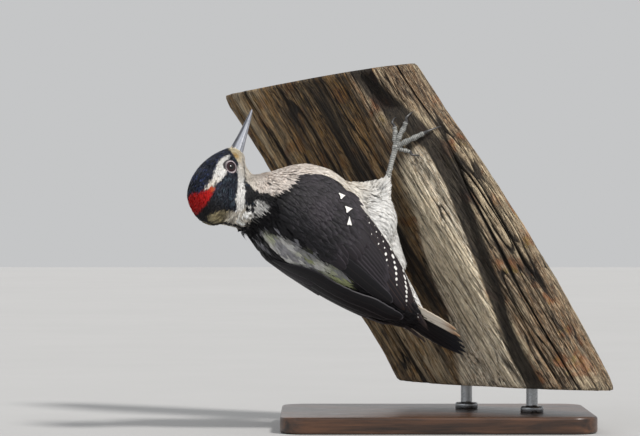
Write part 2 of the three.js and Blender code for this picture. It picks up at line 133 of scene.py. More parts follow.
BODY_CENTRE = np.array([-71.0, -47.0, 117.0])
BODY_RISE, BODY_ROLL, BODY_TURN = np.radians([40, 46, 8])
TRUNK_ANGLE = math.radians(28)
HEAD_ORIGIN = np.array([68, -4, 11.5])
HEAD_BOW, HEAD_TURN = np.radians([75, 12])


class Frame:
    """Axes as the columns of a 3x3 and an origin, with both ways between it and the frame outside it."""

    def __init__(self, axes, origin, outer=None):
        self.axes, self.origin = np.asarray(axes, float), np.asarray(origin, float)
        if outer:
            self.axes, self.origin = outer.axes @ self.axes, outer.out(self.origin)

    def out(self, p):
        return p @ self.axes.T + self.origin

    def into(self, p):
        return (p - self.origin) @ self.axes


def bird_axes():
    level = np.array([-math.cos(BODY_RISE), 0, math.sin(BODY_RISE)])
    aside = np.array([math.sin(BODY_RISE), 0, math.cos(BODY_RISE)])
    near = np.array([0, -1.0, 0])
    forward = level * math.cos(BODY_TURN) + near * math.sin(BODY_TURN)
    across = near * math.cos(BODY_TURN) - level * math.sin(BODY_TURN)
    dorsal = across * math.sin(BODY_ROLL) - aside * math.cos(BODY_ROLL)
    return np.stack([forward, np.cross(dorsal, forward), dorsal], 1)


def turn_y(a):
    return np.array([[math.cos(a), 0, math.sin(a)], [0, 1, 0], [-math.sin(a), 0, math.cos(a)]])


def turn_z(a):
    return np.array([[math.cos(a), -math.sin(a), 0], [math.sin(a), math.cos(a), 0], [0, 0, 1]])


TAIL = dict(root=-60, tip=-114, rootUp=3, tipUp=-5, thick=1.3, pairs=5, halfVane=4.3, spread=11.5, innerOut=1.6,
            curl=1.7, layer=0.22, stagger=3.9)

BIRD = Frame(bird_axes(), BODY_CENTRE)
HEAD_IN_BIRD = Frame(turn_y(HEAD_BOW) @ turn_z(-HEAD_TURN), HEAD_ORIGIN)
HEAD = Frame(HEAD_IN_BIRD.axes, HEAD_IN_BIRD.origin, BIRD)
TRUNK_IN_BIRD = Frame(
    np.array([[0, -1, 0], [math.cos(TRUNK_ANGLE), 0, -math.sin(TRUNK_ANGLE)],
              [math.sin(TRUNK_ANGLE), 0, math.cos(TRUNK_ANGLE)]]).T,
    [TAIL["tip"], 0, TAIL["tipUp"] - TAIL["thick"]])
TRUNK = Frame(TRUNK_IN_BIRD.axes, TRUNK_IN_BIRD.origin, BIRD)

# ---------------------------------------------------------------- pieces


def piece(name, points, faces, material, slot, smooth_faces=True):
    """A mesh in metres from points in millimetres and one array of faces, riding on the root body."""
    mesh = bpy.data.meshes.new(name)
    points = np.asarray(points, float).reshape(-1, 3)
    faces = np.asarray(faces, int)
    count, sides = faces.shape
    mesh.vertices.add(len(points))
    mesh.vertices.foreach_set("co", (points * MM).astype(np.float32).ravel())
    mesh.loops.add(count * sides)
    mesh.loops.foreach_set("vertex_index", faces.astype(np.int32).ravel())
    mesh.polygons.add(count)
    mesh.polygons.foreach_set("loop_start", np.arange(0, count * sides, sides, dtype=np.int32))
    mesh.polygons.foreach_set("use_smooth", np.full(count, smooth_faces))
    mesh.update(calc_edges=True)
    mesh.validate()
    if material:
        mesh.materials.append(material)
    obj = bpy.data.objects.new(name, mesh)
    bpy.context.scene.collection.objects.link(obj)
    if slot:
        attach(obj, "root")
    return obj


def paint(obj, name, values):
    """One colour, number or place for each point of the mesh."""
    values = np.asarray(values, np.float32)
    kind = {1: ("FLOAT", "value"), 3: ("FLOAT_VECTOR", "vector"), 4: ("FLOAT_COLOR", "color")}
    width = 1 if values.ndim == 1 else values.shape[1]
    layer = obj.data.attributes.new(name, kind[width][0], "POINT")
    layer.data.foreach_set(kind[width][1], values.ravel())


def lay_flat(obj, name, places):
    """A UV map from one flat place for each point of the mesh."""
    layer = obj.data.uv_layers.new(name=name)
    index = np.empty(len(obj.data.loops), np.int32)
    obj.data.loops.foreach_get("vertex_index", index)
    layer.data.foreach_set("uv", np.asarray(places, np.float32).reshape(-1, 2)[index].ravel())


def capped(rings, ends=None):
    """Rings of points with one more at each end, drawn in to its neighbour's middle or to a given place."""
    first, last = (rings[0].mean(0), rings[-1].mean(0)) if ends is None else ends
    shape = (1,) + rings[0].shape
    return np.concatenate([np.broadcast_to(first, shape), rings, np.broadcast_to(last, shape)])


def tinted(obj, colour):
    """The piece with a colour for each of its points."""
    colour = np.asarray(colour).reshape(-1, 3)
    colour = np.broadcast_to(colour, (len(obj.data.vertices), 3))
    paint(obj, "tint", np.concatenate([colour, np.ones((len(colour), 1))], -1))
    return obj


def grid_faces(rows, columns, round_columns=False):
    """The four-sided faces of a grid of points, row by row. Its last column joins its first if it goes round."""
    r, c = np.meshgrid(np.arange(rows - 1), np.arange(columns - (not round_columns)), indexing="ij")
    d = (c + 1) % columns
    return stack(r * columns + c, (r + 1) * columns + c, (r + 1) * columns + d, r * columns + d).reshape(-1, 4)


def many_faces(faces, points_each, count):
    """The faces of one small mesh, repeated for each of many that follow one another."""
    return (faces[None] + (np.arange(count) * points_each)[:, None, None]).reshape(-1, faces.shape[1])


def joined(parts):
    """(points, faces) of several meshes as one."""
    shift, points, faces = 0, [], []
    for p, f in parts:
        p = np.asarray(p).reshape(-1, 3)
        points.append(p)
        faces.append(np.asarray(f) + shift)
        shift += len(p)
    return np.concatenate(points), np.concatenate(faces)


def tube(line, radius, sides=16, around=None):
    """A round bar along a run of points: at each point a ring of its radius, square to the line. Its ends close to a
    point each.

    around(rings, angles) may give each ring's own factor for the radius, by angle.
    """
    line = np.asarray(line, float)
    ahead = unit(np.gradient(line, axis=0))
    seed = np.array([0.31, 0.87, 0.39])
    one = unit(np.cross(ahead, seed))
    two = np.cross(ahead, one)
    angle = full_turn(sides)
    radius = np.broadcast_to(radius, len(line))
    size = np.ones((len(line), sides)) if around is None else around(np.arange(len(line))[:, None], angle[None])
    ring = np.cos(angle)[None, :, None] * one[:, None] + np.sin(angle)[None, :, None] * two[:, None]
    points = capped(line[:, None] + ring * (radius[:, None] * size)[..., None], (line[0], line[-1]))
    return points.reshape(-1, 3), grid_faces(len(points), sides, True)[:, ::-1]


def merged(obj, distance=0.00002):
    """The piece with its doubled points merged and its faces turned outwards."""
    work = bmesh.new()
    work.from_mesh(obj.data)
    bmesh.ops.remove_doubles(work, verts=work.verts, dist=distance)
    bmesh.ops.recalc_face_normals(work, faces=work.faces)
    work.to_mesh(obj.data)
    work.free()
    obj.data.update()
    return obj


# ---------------------------------------------------------------- the forms of the bird

# Rows of (along, up, wide, deep): the middle, half width and half depth of oval sections, to the feathers' tips.
BODY_SECTIONS = [(-80, 1, 8, 3.5), (-64, 1.5, 15, 11.5), (-45, 0.5, 21.5, 18.5), (-25, -2, 27, 26),
                 (-5, -4, 30.5, 31.5), (15, -4, 32, 34), (29, 0, 30, 29.5), (40, 5.5, 25, 23),
                 (48, 11.5, 20.5, 19.5), (54, 19, 18.5, 17.5), (60, 27, 15, 15)]
HEAD_SECTIONS = [(-36.8, 2.3, 3, 3.5), (-34.4, 3.1, 7.3, 7.8), (-29.5, 4.2, 11.3, 12.1),
                 (-23, 5.0, 14.1, 15.1), (-13, 5.1, 14.6, 15.3), (-4, 4.3, 13.4, 13.8), (4, 3, 11, 11.1),
                 (10, 1.6, 8, 8.2), (14.5, 0.5, 5.4, 5.5)]
# The sections from the wing's bend to the head as the skin takes them, drawn in under the throat.
SLIM_NECK = [(29, 0.3, 30, 29.2), (40, 7, 23, 21), (48, 13.3, 18, 15.8), (54, 20.8, 15.8, 14.4), (60, 28, 13, 13)]
SECTION_LEAN = 0.45
EYE = dict(along=-4.2, up=4.9, out=10.1, radius=4.0)
# How far out to the side lie the place that the feathers part round, and the middle of the black patch about the eye.
EYE_ROUND, EYE_SOCKET = 12.8, 12.2
BILL = dict(root=8, tip=46.4, halfWide=5, upper=5.2, lower=3.9, chisel=0.16, seam=-0.6)
WING = dict(bend=43, length=128, outerEdge=-15, innerEdge=85, foreInnerEdge=58, bendAngle=12, tipAngle=62, proud=1.2,
            rounding=0.16, taper=0.3, leavesBody=(60, 86), overTail=(1.5, 8, 4.5))


def runs_of(sections):
    return {key: run_of(values) for key, values in zip(("along", "up", "wide", "deep"), zip(*sections))}


body_run, skin_run, head_run = map(runs_of, (BODY_SECTIONS, BODY_SECTIONS[:6] + SLIM_NECK, HEAD_SECTIONS))


def oval_bar(run, lean_share, share, angle):
    """A point of a bar of oval sections. Each section is an ellipse that leans by a share of the slope of the bar's
    middle line."""
    step = 1e-3
    rise = run["up"](share + step) - run["up"](share - step)
    lean = lean_share * np.arctan2(rise, run["along"](share + step) - run["along"](share - step))
    height = np.sin(angle) * run["deep"](share)
    return stack(run["along"](share) - np.sin(lean) * height, np.cos(angle) * run["wide"](share),
                     run["up"](share) + np.cos(lean) * height)


body_shares = np.linspace(0, 1, 2001)
body_alongs = body_run["along"](body_shares)


def share_at(along):
    """The share of the body's sections at a distance along the bird."""
    return np.interp(along, body_alongs, body_shares)


def body_angle(p):
    """Degrees round the body from either side, 90 at the middle of the back and -90 at the middle of the belly."""
    at = share_at(p[..., 0])
    return np.degrees(np.arctan2((p[..., 2] - body_run["up"](at)) / body_run["deep"](at),
                                 np.abs(p[..., 1]) / body_run["wide"](at)))


def openness(share):
    rounded = np.clip(share / WING["rounding"], 0, 1)
    pointed = np.clip((1 - share) / WING["taper"], 0, 1)
    return np.sqrt(rounded * (2 - rounded)) * pointed**0.62


def wing_limits(share):
    """Degrees round the body of the wing's lower and inner edges. They near each other at its two ends."""
    inner = lerp(WING["foreInnerEdge"], WING["innerEdge"], smooth(share, 0.1, 0.45))
    middle = lerp(WING["bendAngle"], WING["tipAngle"], smooth(share, 0.1, 1))
    wide = np.maximum(openness(share), 0.06)
    return lerp(middle, WING["outerEdge"], wide), lerp(middle, inner, wide)


def wing_place(side, share, across, out=0.0):
    """A place on the folded wing, in the bird's frame: share runs from the bend to the tip and across from its lower
    edge to its inner edge. It lies on the body's ovals and, past the rump, on a small oval over the tail, `out` above
    its own surface."""
    angle = np.radians(lerp(*wing_limits(share), across))
    along = WING["bend"] - WING["length"] * share
    at = share_at(np.minimum(along, 40))
    leaving = smooth(-along, *WING["leavesBody"])
    up, wide, deep = (lerp(body_run[k](at), v, leaving) for k, v in zip(("up", "wide", "deep"), WING["overTail"]))
    out = out + WING["proud"]
    return stack(along + 0 * angle, -side * np.cos(angle) * (wide + out), up + np.sin(angle) * (deep + out))


# ---------------------------------------------------------------- legs, in the bird's and the trunk's frames

LEG = dict(hip=(-24, -8, 9, 13), knee=(-20, -25, 18, 14.5), shin=(-15, -39, 24, 6.5), heel=(-11.3, -47.8, 27, 2.5),
           tarsusRadius=1.45, jointRadius=2.1, footHeight=5.2)
FEET = dict(right=dict(side=1, across=36.5, up=125.4, heelShift=0), left=dict(side=-1, across=34, up=104, heelShift=-16))
TOES = dict(hallux=(152, 6, 1.35), inner=(19, 10, 1.55), middle=(48, 12.5, 1.65), outer=(98, 13.5, 1.7))
CLAW = dict(length=4.9, height=3.3, radius=1.15, bite=0.9)
LOG = dict(halfRight=58, halfLeft=92, waist=13, waistUp=45, waistReach=55, depth=54, squareness=2.2, swell=0.05,
           bottomZ=26, topX=-90, topZ=213, topSlope=8)


def log_half(across, up):
    waist = LOG["waist"] * np.exp(-(((up - LOG["waistUp"]) / LOG["waistReach"]) ** 2))
    return np.where(across > 0, LOG["halfRight"], LOG["halfLeft"] - waist)


def face_drop(across, up):
    """How far the log's face lies below its highest line: half its depth times 1 - (1 - share^n)^(1/n) of the half
    width."""
    share = np.clip(np.abs(across) / log_half(across, up), 0, 1)
    n = LOG["squareness"]
    return LOG["depth"] / 2 * (1 - (1 - share**n) ** (1 / n))


def leg_place(joint, foot, swing):
    """A joint of the leg in the bird's frame. It swings back by a share of the foot's own shift."""
    along, down, out, _ = LEG[joint]
    return np.array([along + swing * foot["heelShift"], -foot["side"] * out, down - 0.1 * swing * foot["heelShift"]])


def foot_joint(foot):
    x, y = foot["side"] * foot["across"], foot["up"]
    return np.array([x, y, LEG["footHeight"] - face_drop(np.array(x), np.array(y))])


def toe_place(foot, angle, reach, lift):
    """A place on a toe in the trunk's frame: out from the foot's joint by reach, and lift above the wood."""
    turn = np.radians(angle) * foot["side"]
    joint = foot_joint(foot)
    x, y = joint[0] + np.sin(turn) * reach, joint[1] + np.cos(turn) * reach
    return stack(x, y, lift - face_drop(x, y))


# ---------------------------------------------------------------- plumage colours

BLACK = linear("100f13")
BLUE_BLACK = linear("141a28")
BROWN_BLACK = linear("221e23")
WHITE = linear("f1efeb")
CREAM = linear("e6ddcf")
BREAST = linear("e0d4ca")
BUFF = linear("e0cfa8")
GOLD = linear("c39a52")
TAN = linear("7b6e45")
RED = linear("c00a08")
ORANGE = linear("d9662a")
GREY = linear("8b8a90")
# A painted green reflection for the white stripe down the back, which lies in shade.
SHADED_GREEN_REFLECTION = linear("a6ac7e")


def band(x, z, stations, soft=0.5):
    """1 where z lies within a band's half width of its middle. The band is given by rows of (x, middle, half width)."""
    xs, middles, halves = np.array(sorted(stations)).T
    half = np.interp(x, xs, halves)
    off = np.abs(z - np.interp(x, xs, middles)) - half
    inside = smooth(-off, -soft, soft) * smooth(half, 0, 0.3)
    return inside * (x > xs[0] - soft) * (x < xs[-1] + soft)


def blob(p, middle, radius, soft=0.8):
    return 1 - smooth(np.linalg.norm(p - np.array(middle), axis=-1), radius - soft, radius + soft)


def blend(colour, new, mask):
    return colour * (1 - mask[..., None]) + new * mask[..., None]


def laid(colour, *coats):
    """A colour with others laid over it in turn, each given as (colour, mask)."""
    for new, mask in coats:
        colour = blend(colour, new, mask)
    return colour


# Rows of (along the head, height, half width) for the stripes on each side of the head.
BROW = [(4.6, 6.6, 0.3), (2.0, 8.3, 1.4), (-3.8, 9.7, 2.4), (-9, 9.5, 3.0), (-13.5, 10.0, 2.6),
        (-17, 10.7, 1.9), (-20.5, 11.8, 1.4), (-24, 13.6, 0.5)]
LORE = [(15, 2.0, 3.8), (12, 2.0, 4.1), (9.5, 2.0, 4.3), (6.3, 0.9, 4.0), (3.6, -0.9, 3.8), (1.5, -2.7, 3.3),
        (-1, -3.2, 3.4)]
CHEEK = [(5, -1.6, 2.2), (0, -3.0, 3.4), (-5, -3.7, 3.5), (-9, -4.6, 3.0), (-13, -5.6, 2.5), (-17, -6.8, 2.6),
         (-21, -8.0, 2.8), (-25, -10.2, 2.0), (-27.5, -11.5, 0.5)]
MALAR_LINE = [(8, -2.4, 0.3), (3, -5.0, 0.45), (0, -6.8, 0.5), (-4, -7.3, 0.55), (-8, -7.6, 0.7),
              (-12, -8.8, 0.9)]
NAPE_SIDE = [(-21.5, -12.5, 0.5), (-24, -14.5, 4.5), (-27.5, -12, 6.5), (-30, -8.5, 8.0), (-32, -6, 8.5),
             (-34, -4, 8.6), (-36, -3, 6.0), (-38, -3.2, 1.0)]
# Rows of (height, place along the head, half length) for the patches that stand across the neck.
MALAR = [(-8, -11.5, 0.3), (-9, -12.4, 1.8), (-10.5, -14.2, 4.2), (-12, -15.6, 5.2), (-13.5, -15, 4.4),
         (-15.5, -13.8, 3.0), (-17, -12.6, 2.0), (-19.5, -11.9, 1.7), (-22, -11.3, 1.5), (-24, -11.5, 1.9),
         (-26, -12.2, 2.8), (-28, -13, 4)]
NECK_PATCH = [(-9.5, -23.5, 0.5), (-11.5, -23.5, 3.0), (-14, -22.3, 5.0), (-17, -19.9, 5.6),
              (-20, -18.4, 4.8), (-23, -17.2, 3.6), (-25, -16, 1.6), (-26.5, -15.6, 0.3)]
THROAT_EDGE = [(-12.4, -60), (-11.3, -16), (-10.4, -11.8), (-8.5, -9.4), (-6.8, -7.7), (0, -6.9), (3, -5.1),
               (8, -2.6), (15, -2.0)]
# Degrees by which the pattern turns to the bird's right round the body, by the distance along it.
TWIST = [(-60, 14), (-26, 20), (-5, 13), (10, 7), (22, 1), (32, -8), (40, -15), (50, -16)]
# Rows of (along the body, degrees): the pattern's black upper side starts above this.
MANTLE_EDGE = [(-82, 5), (-60, 8), (-30, -5), (20, -8), (32, -12), (35, 0), (36.5, 13), (38, 19), (40, 21),
               (44, 18), (49, 12), (53, 6), (58, 2)]
# Rows of (along the body, across it, half width) for the white stripe down the back.
BACK_STRIPE = [(31, 1.0, 0.5), (27, 0.2, 3.0), (20, -1.4, 6.0), (10, -2.4, 7.2), (0, -3.2, 6.0),
               (-10, -4.0, 5.2), (-20, -4.6, 5.0), (-26, -5.0, 3.6), (-31, -5.4, 0.5)]


def head_colour(p):
    """The pattern of the head by height and distance along it, laid on in turn: black, painted sheen, then each stripe
    and patch.
    """
    x, y, z = p[..., 0], -np.abs(p[..., 1]), p[..., 2]
    # Flecks of painted sheen: blue on the crown and grey-blue lower on the head.
    sheen = smooth(soft_noise(p * 0.9 + 7, 12), 0.55, 0.75) * smooth(x, -32, -22)
    side = smooth(-y, 3.2, 5.2)
    gold = blob(p * [1, 0, 1], (6.4, 0, 3.2), 1.9, 1.4) * 0.9
    lore = blend(blend(CREAM, BUFF, smooth(z, -2.5, 2.0)), GOLD, gold)
    socket = blob(stack(x, y, z), (EYE["along"], -EYE_SOCKET, EYE["up"]), 4.8, 0.4)
    front = np.interp(-y, [0, 5, 9.5, 11, 13], [-25.2, -26.0, -24.6, -22.6, -19.6])
    red = smooth(front - x, -0.5, 0.7) * smooth(z, 8.9, 10.0)
    return laid(
        np.broadcast_to(BLUE_BLACK, p.shape),
        (linear("303c66"), sheen * smooth(z, 6, 9) * 0.75),
        (linear("3a4a57"), sheen * (1 - smooth(z, 6, 9)) * 0.7),
        (BLACK, smooth(-x, 22, 32)),
        (blend(WHITE, CREAM, smooth(-x, 12, 22)), band(x, z, BROW) * side),
        (blend(CREAM * 0.93, lore, smooth(x, 0.5, 5)), band(x, z, LORE) * smooth(x, -1.5, 0.5)),
        (blend(WHITE, CREAM, 0.6 * smooth(x, -8, 0)), band(x, z, CHEEK) * smooth(-x, -3, -1) * side),
        (blend(CREAM, BREAST, smooth(-z, 8, 18)), smooth(follow(x, THROAT_EDGE) - z, -0.4, 0.6)),
        (BLACK, socket * smooth(x, -6.0, -3.6)),
        (blend(RED, RED * 0.62, smooth(-x, 27, 36)), red),
        (ORANGE, red * smooth(x, -25.5, -22.5) * smooth(-y, 9.5, 11.5) * 0.8))


def neck_marks(c, h):
    """The marks that run from the head on to the neck, in the head's frame: olive nape side, white streaks, and the
    dark malar mark."""
    wobble = soft_noise(h * 0.5 + 40, 31) - 0.5
    x, y, z = h[..., 0] + 1.6 * wobble, np.abs(h[..., 1]), h[..., 2] - 1.2 * wobble
    side = smooth(y, 0.6, 2.6)
    streak = soft_noise(stack(x * 0.5 - z * 0.25, h[..., 1] * 0.3, z * 1.2 + x * 0.6), 33)
    tan = blend(TAN, CREAM, smooth(x, -33.5, -28) * smooth(-z, 1, 9) * 0.85 + 0.12)
    broken = smooth(soft_noise(h * [0.9, 0.1, 0.1] + 3, 35), 0.26, 0.42)
    return laid(
        c, (tan * lerp(0.6, 1.65, smooth(streak, 0.32, 0.66))[..., None], band(x, z, NAPE_SIDE, 0.9) * side),
        (WHITE, band(z, x, NECK_PATCH, 1.0) * side * smooth(streak, 0.26, 0.48)),
        (BLACK, band(z, x, MALAR, 0.7) * smooth(y, 5, 7)),
        (BLACK, band(x, z, MALAR_LINE, 0.55) * broken * smooth(y, 4.5, 6.0) * 0.95))


def pattern_angle(p):
    """Degrees round the body in the twisted pattern: 0 at its right side, 90 at the middle of the back."""
    at = share_at(p[..., 0])
    up, across = (p[..., 2] - body_run["up"](at)) / body_run["deep"](at), -p[..., 1] / body_run["wide"](at)
    right = np.degrees(np.arctan2(up, across))
    twisted = right + follow(p[..., 0], TWIST) * smooth(np.sin(np.radians(right)), 0, 0.5)
    twisted = np.where(twisted > 180, twisted - 360, twisted)
    return np.where(twisted > 90, 180 - twisted, np.where(twisted < -90, -180 - twisted, twisted))


def body_colour(p):
    """The pattern of the body by the angle round it and the distance along it."""
    along, angle = p[..., 0], pattern_angle(p)
    edge = follow(along, MANTLE_EDGE)
    torn = soft_noise(p * [0.12, 0.45, 0.45] + 3, 46) - 0.5
    stripe = band(along + 5 * torn, p[..., 1] + 3.5 * torn, BACK_STRIPE, 1.0) * (p[..., 2] > 0)
    # The white stripe down the back is painted as in shade: white dimmed to 0.8, a painted green reflection in patches
    # and wholly green towards the tail, and a random tone.
    shaded_stripe = blend(WHITE * 0.8, SHADED_GREEN_REFLECTION, np.maximum(smooth(soft_noise(p * 0.12, 44), 0.35, 0.65), smooth(-along, 4, 22)))
    small = smooth(soft_noise(p * [0.16, 0.4, 0.4] + 3, 9), 0.66, 0.72) * smooth(angle, 62, 72) * (np.abs(along - 4) < 28)
    dark_line = smooth(soft_noise(p * [0.16, 0.9, 0.9] + 11, 3), 0.73, 0.8) * smooth(along, 33, 38) * smooth(angle, -24, -12)
    return laid(
        np.broadcast_to(CREAM, p.shape), (BREAST, smooth(along, 8, 34)), (WHITE * 0.93, smooth(-along, -6, 14)),
        (BLACK, smooth(angle - edge, -2.5, 2.5)),
        (shaded_stripe * lerp(0.75, 1.08, soft_noise(p * [0.25, 0.9, 0.9], 47))[..., None], stripe),
        (GREY, small * 0.8), (BLACK, dark_line * (1 - smooth(angle, 12, 20)) * 0.85))


def headness(p):
    """1 on the head, 0 on the body, by how far a place in the bird's frame lies along and above the neck."""
    h = HEAD_IN_BIRD.into(p)
    return smooth(h[..., 2] + 0.25 * h[..., 0] + 4, -18.5, -12.5) * smooth(p[..., 0], 38, 44)


def plumage(p):
    """The colour of the plumage at places in the bird's frame."""
    head = headness(p)
    h = HEAD_IN_BIRD.into(p)
    return neck_marks(body_colour(p) * (1 - head[..., None]) + head_colour(h) * head[..., None], h)


def coat_depth(p):
    """Millimetres from the skin to the feathers' tips: least on the face, most on the body."""
    h = HEAD_IN_BIRD.into(p)
    head = lerp(1.5, 0.7, smooth(h[..., 0], -22, 2))
    shin = smooth(-p[..., 2], 38, 46)
    return lerp(lerp(2.3, head, headness(p)), 0.9, shin)


def lie(p):
    """The way that the feathers lie: back from the bill over the head, then along the body to the tail, and down the
    legs."""
    head = headness(p)[..., None]
    h = HEAD_IN_BIRD.into(p)
    back = np.broadcast_to(HEAD_IN_BIRD.axes @ np.array([-1.0, 0, 0]), p.shape)
    cheek = HEAD_IN_BIRD.axes @ np.array([0, 0, -1.0])
    back = back + cheek * (0.3 * smooth(-h[..., 2], -4, 6))[..., None]
    along = np.broadcast_to([-1.0, 0, 0], p.shape)
    way = along * (1 - head) + back * head
    for side in (-1, 1):
        away = h - np.array([EYE["along"], side * EYE_ROUND, EYE["up"]])
        near = 1 - smooth(np.linalg.norm(away, axis=-1), 4.0, 7.0)
        way = way + unit(away) @ HEAD_IN_BIRD.axes.T * (1.6 * near)[..., None]
    leg = smooth(-p[..., 2], 30, 38)[..., None] * (p[..., 0] < 10)[..., None]
    down = np.array([-0.15, 0, -1.0])
    return unit(way * (1 - leg) + down * leg)


# ---------------------------------------------------------------- skin


def closed_bar(place, rows, sides):
    """A closed surface from a function of the share along a bar and the angle round it."""
    share, angle = np.meshgrid(np.linspace(0, 1, rows), full_turn(sides), indexing="ij")
    return capped(place(share, angle)).reshape(-1, 3), grid_faces(rows + 2, sides, True)


def filler(rows, place):
    """A round bar that fills a fold of the skin. place() carries its rows to the bird's frame."""
    at = run_of(np.array(rows))(np.linspace(0, 1, 24))
    return tube(place(at[:, :3]), at[:, 3], 32)


def thigh_bar(foot):
    """The feathered leg: a round bar through hip, knee, shin and heel, and a little way down the tarsus."""
    heel = leg_place("heel", foot, 1)
    stops = [leg_place(j, foot, s) for j, s in (("hip", 0), ("knee", 0.3), ("shin", 0.8))]
    stops += [heel, lerp(heel, TRUNK_IN_BIRD.out(foot_joint(foot)), 0.42)]
    share = np.linspace(0, 1, 48)
    return tube(run_of(stops)(share), run_of([13, 13.6, 4.6, 2.6, 2.2])(share), 40)


def flank_bar(foot):
    """The loose skin between the flank and the front of the shin."""
    rows = np.array([(6, 13, -29, 6.5), (-4, 19.5, -36.5, 5.0), (-9, 24, -43, 3.2), (-10.5, 27, -48.5, 1.8)])
    rows[:, 0] += foot["heelShift"] * np.array([0, 0.4, 0.8, 1])
    rows[:, 1] *= -foot["side"]
    return filler(rows, lambda p: p)


# Rows of (along, across, up, radius) in the head's frame: the loose skin of the throat, and of the nape.
SKIN_FILLERS = [
    [(7, 0, -2.5, 5.0), (1.5, 0, -5.5, 7.2), (-3, 0, -10.5, 8.0), (-10, 0, -16, 11)],
    [(-21.5, 0, 4, 10.5), (-22.5, 0, -2, 10.6), (-22.5, 0, -7, 9.8), (-22, 0, -12, 9.0), (-20, 0, -20, 9.0)],
]


# Rows of (along, out to the side, up, radius) in the bird's frame: the flank before the thigh, and the vent behind it.
FLANK_FILLERS = [[(4, 17, -27, 7), (-6, 19.3, -29.5, 7), (-14, 22, -31.5, 7.5)],
                 [(-16, 13, -24, 11), (-27, 12, -23.5, 10.5), (-38, 9, -18.5, 9.5), (-50, 6, -13, 8)]]


def skin_shape():
    """The body's, head's and legs' bars made one by a voxel remesh, smoothed, and drawn in by the depth of the coat."""
    bars = [closed_bar(lambda s, a: oval_bar(skin_run, SECTION_LEAN, s, a), 90, 96),
            closed_bar(lambda s, a: HEAD_IN_BIRD.out(oval_bar(head_run, 0, s, a)), 70, 72)]
    bars += [bar(foot) for foot in FEET.values() for bar in (thigh_bar, flank_bar)]
    bars += [filler(rows, HEAD_IN_BIRD.out) for rows in SKIN_FILLERS]
    bars += [filler(rows, lambda p, y=y: p * [1, y, 1]) for rows in FLANK_FILLERS for y in (-1, 1)]
    rough = piece("rough_skin", *joined(bars), None, None)
    for name, kind, settings in (("one", "REMESH", dict(mode="VOXEL", voxel_size=0.85 * MM)),
                                 ("soft", "SMOOTH", dict(factor=0.5, iterations=14))):
        step = rough.modifiers.new(name, kind)
        for key, value in settings.items():
            setattr(step, key, value)
    done = rough.evaluated_get(bpy.context.evaluated_depsgraph_get()).to_mesh()
    points, normals = np.empty(len(done.vertices) * 3), np.empty(len(done.vertices) * 3)
    done.vertices.foreach_get("co", points)
    done.vertices.foreach_get("normal", normals)
    faces = np.empty(len(done.loops), np.int32)
    done.loops.foreach_get("vertex_index", faces)
    rough.to_mesh_clear()
    mesh = rough.data
    bpy.data.objects.remove(rough)
    bpy.data.meshes.remove(mesh)
    points, normals = points.reshape(-1, 3) / MM, normals.reshape(-1, 3)
    return points - normals * coat_depth(points)[:, None], normals, faces.reshape(-1, 4)


class Surface:
    """Points, faces and normals in the bird's frame, and the nearest place on them to any point."""

    def __init__(self, points, normals, faces):
        self.points, self.normals, self.faces = points, normals, faces
        self.tree = BVHTree.FromPolygons(points.tolist(), faces.tolist())

    def nearest(self, places):
        found = [self.tree.find_nearest(p) for p in places.tolist()]
        return np.array([f[0] for f in found]), np.array([f[1] for f in found])


skin = Surface(*skin_shape())

# ---------------------------------------------------------------- coat


def scattered(skin, spacing, wanted, seed):
    """Places spread evenly over the part of the skin where wanted() holds.

    Many points are strewn by area. One is kept in each cell of a lattice as wide as the spacing, and of two kept
    points in cells side by side that lie closer than 0.7 of it, one goes.
    """
    draw = np.random.RandomState(seed)
    corners = skin.points[skin.faces]
    area = np.linalg.norm(np.cross(corners[:, 2] - corners[:, 0], corners[:, 3] - corners[:, 1]), axis=1) / 2
    area = area * wanted(corners.mean(1))
    count = int(area.sum() / spacing**2 * 7)
    face = draw.choice(len(area), count, p=area / area.sum())
    u, v = draw.rand(2, count, 1)
    quad = corners[face]
    places = lerp(lerp(quad[:, 0], quad[:, 1], u), lerp(quad[:, 3], quad[:, 2], u), v)
    normals = unit(skin.normals[skin.faces[face]].mean(1))
    cell = np.floor(places / spacing + 1000).astype(np.int64)
    key = cell @ np.array([1, 4096, 4096 * 4096])
    _, first = np.unique(key, return_index=True)
    places, normals, key = places[first], normals[first], key[first]
    kept = np.ones(len(places), bool)
    for step in [s for s in np.ndindex(3, 3, 3) if s > (1, 1, 1)]:
        other = key + (np.array(step) - 1) @ np.array([1, 4096, 4096 * 4096])
        at = np.minimum(np.searchsorted(key, other), len(key) - 1)
        close = (key[at] == other) & kept & kept[at] & (np.linalg.norm(places - places[at], axis=1) < 0.7 * spacing)
        kept[at[close]] = False
    return places[kept], normals[kept]


def unwrapped(p):
    """The skin laid flat: the body and the head by angle and distance along, the legs by place, each on a part of its
    own."""
    h = HEAD_IN_BIRD.into(p)
    on_head = headness(p) > 0.5
    on_leg = (p[..., 2] < -34) & (p[..., 0] < 8)
    at = share_at(p[..., 0])
    round_body = np.arctan2(p[..., 1], p[..., 2] - body_run["up"](at)) / (2 * np.pi) + 0.5
    round_head = np.arctan2(h[..., 1], h[..., 2] - 4) / (2 * np.pi) + 0.5
    u = np.where(on_head, 0.66 + 0.33 * round_head, 0.01 + 0.63 * round_body)
    v = np.where(on_head, 0.02 + 0.56 * (h[..., 0] + 42) / 60, 0.02 + 0.96 * (p[..., 0] + 84) / 150)
    u = np.where(on_leg, 0.66 + 0.33 * (p[..., 1] + 40) / 80, u)
    v = np.where(on_leg, 0.62 + 0.36 * (-p[..., 2] - 34) / 20, v)
    return stack(u, v)


ROWS, COLUMNS = 4, 7
ROW_LIFT = np.array([0.05, 0.72, 1.0, 1.06])
ROW_WIDE = np.array([0.5, 1.0, 0.95, 0.55])


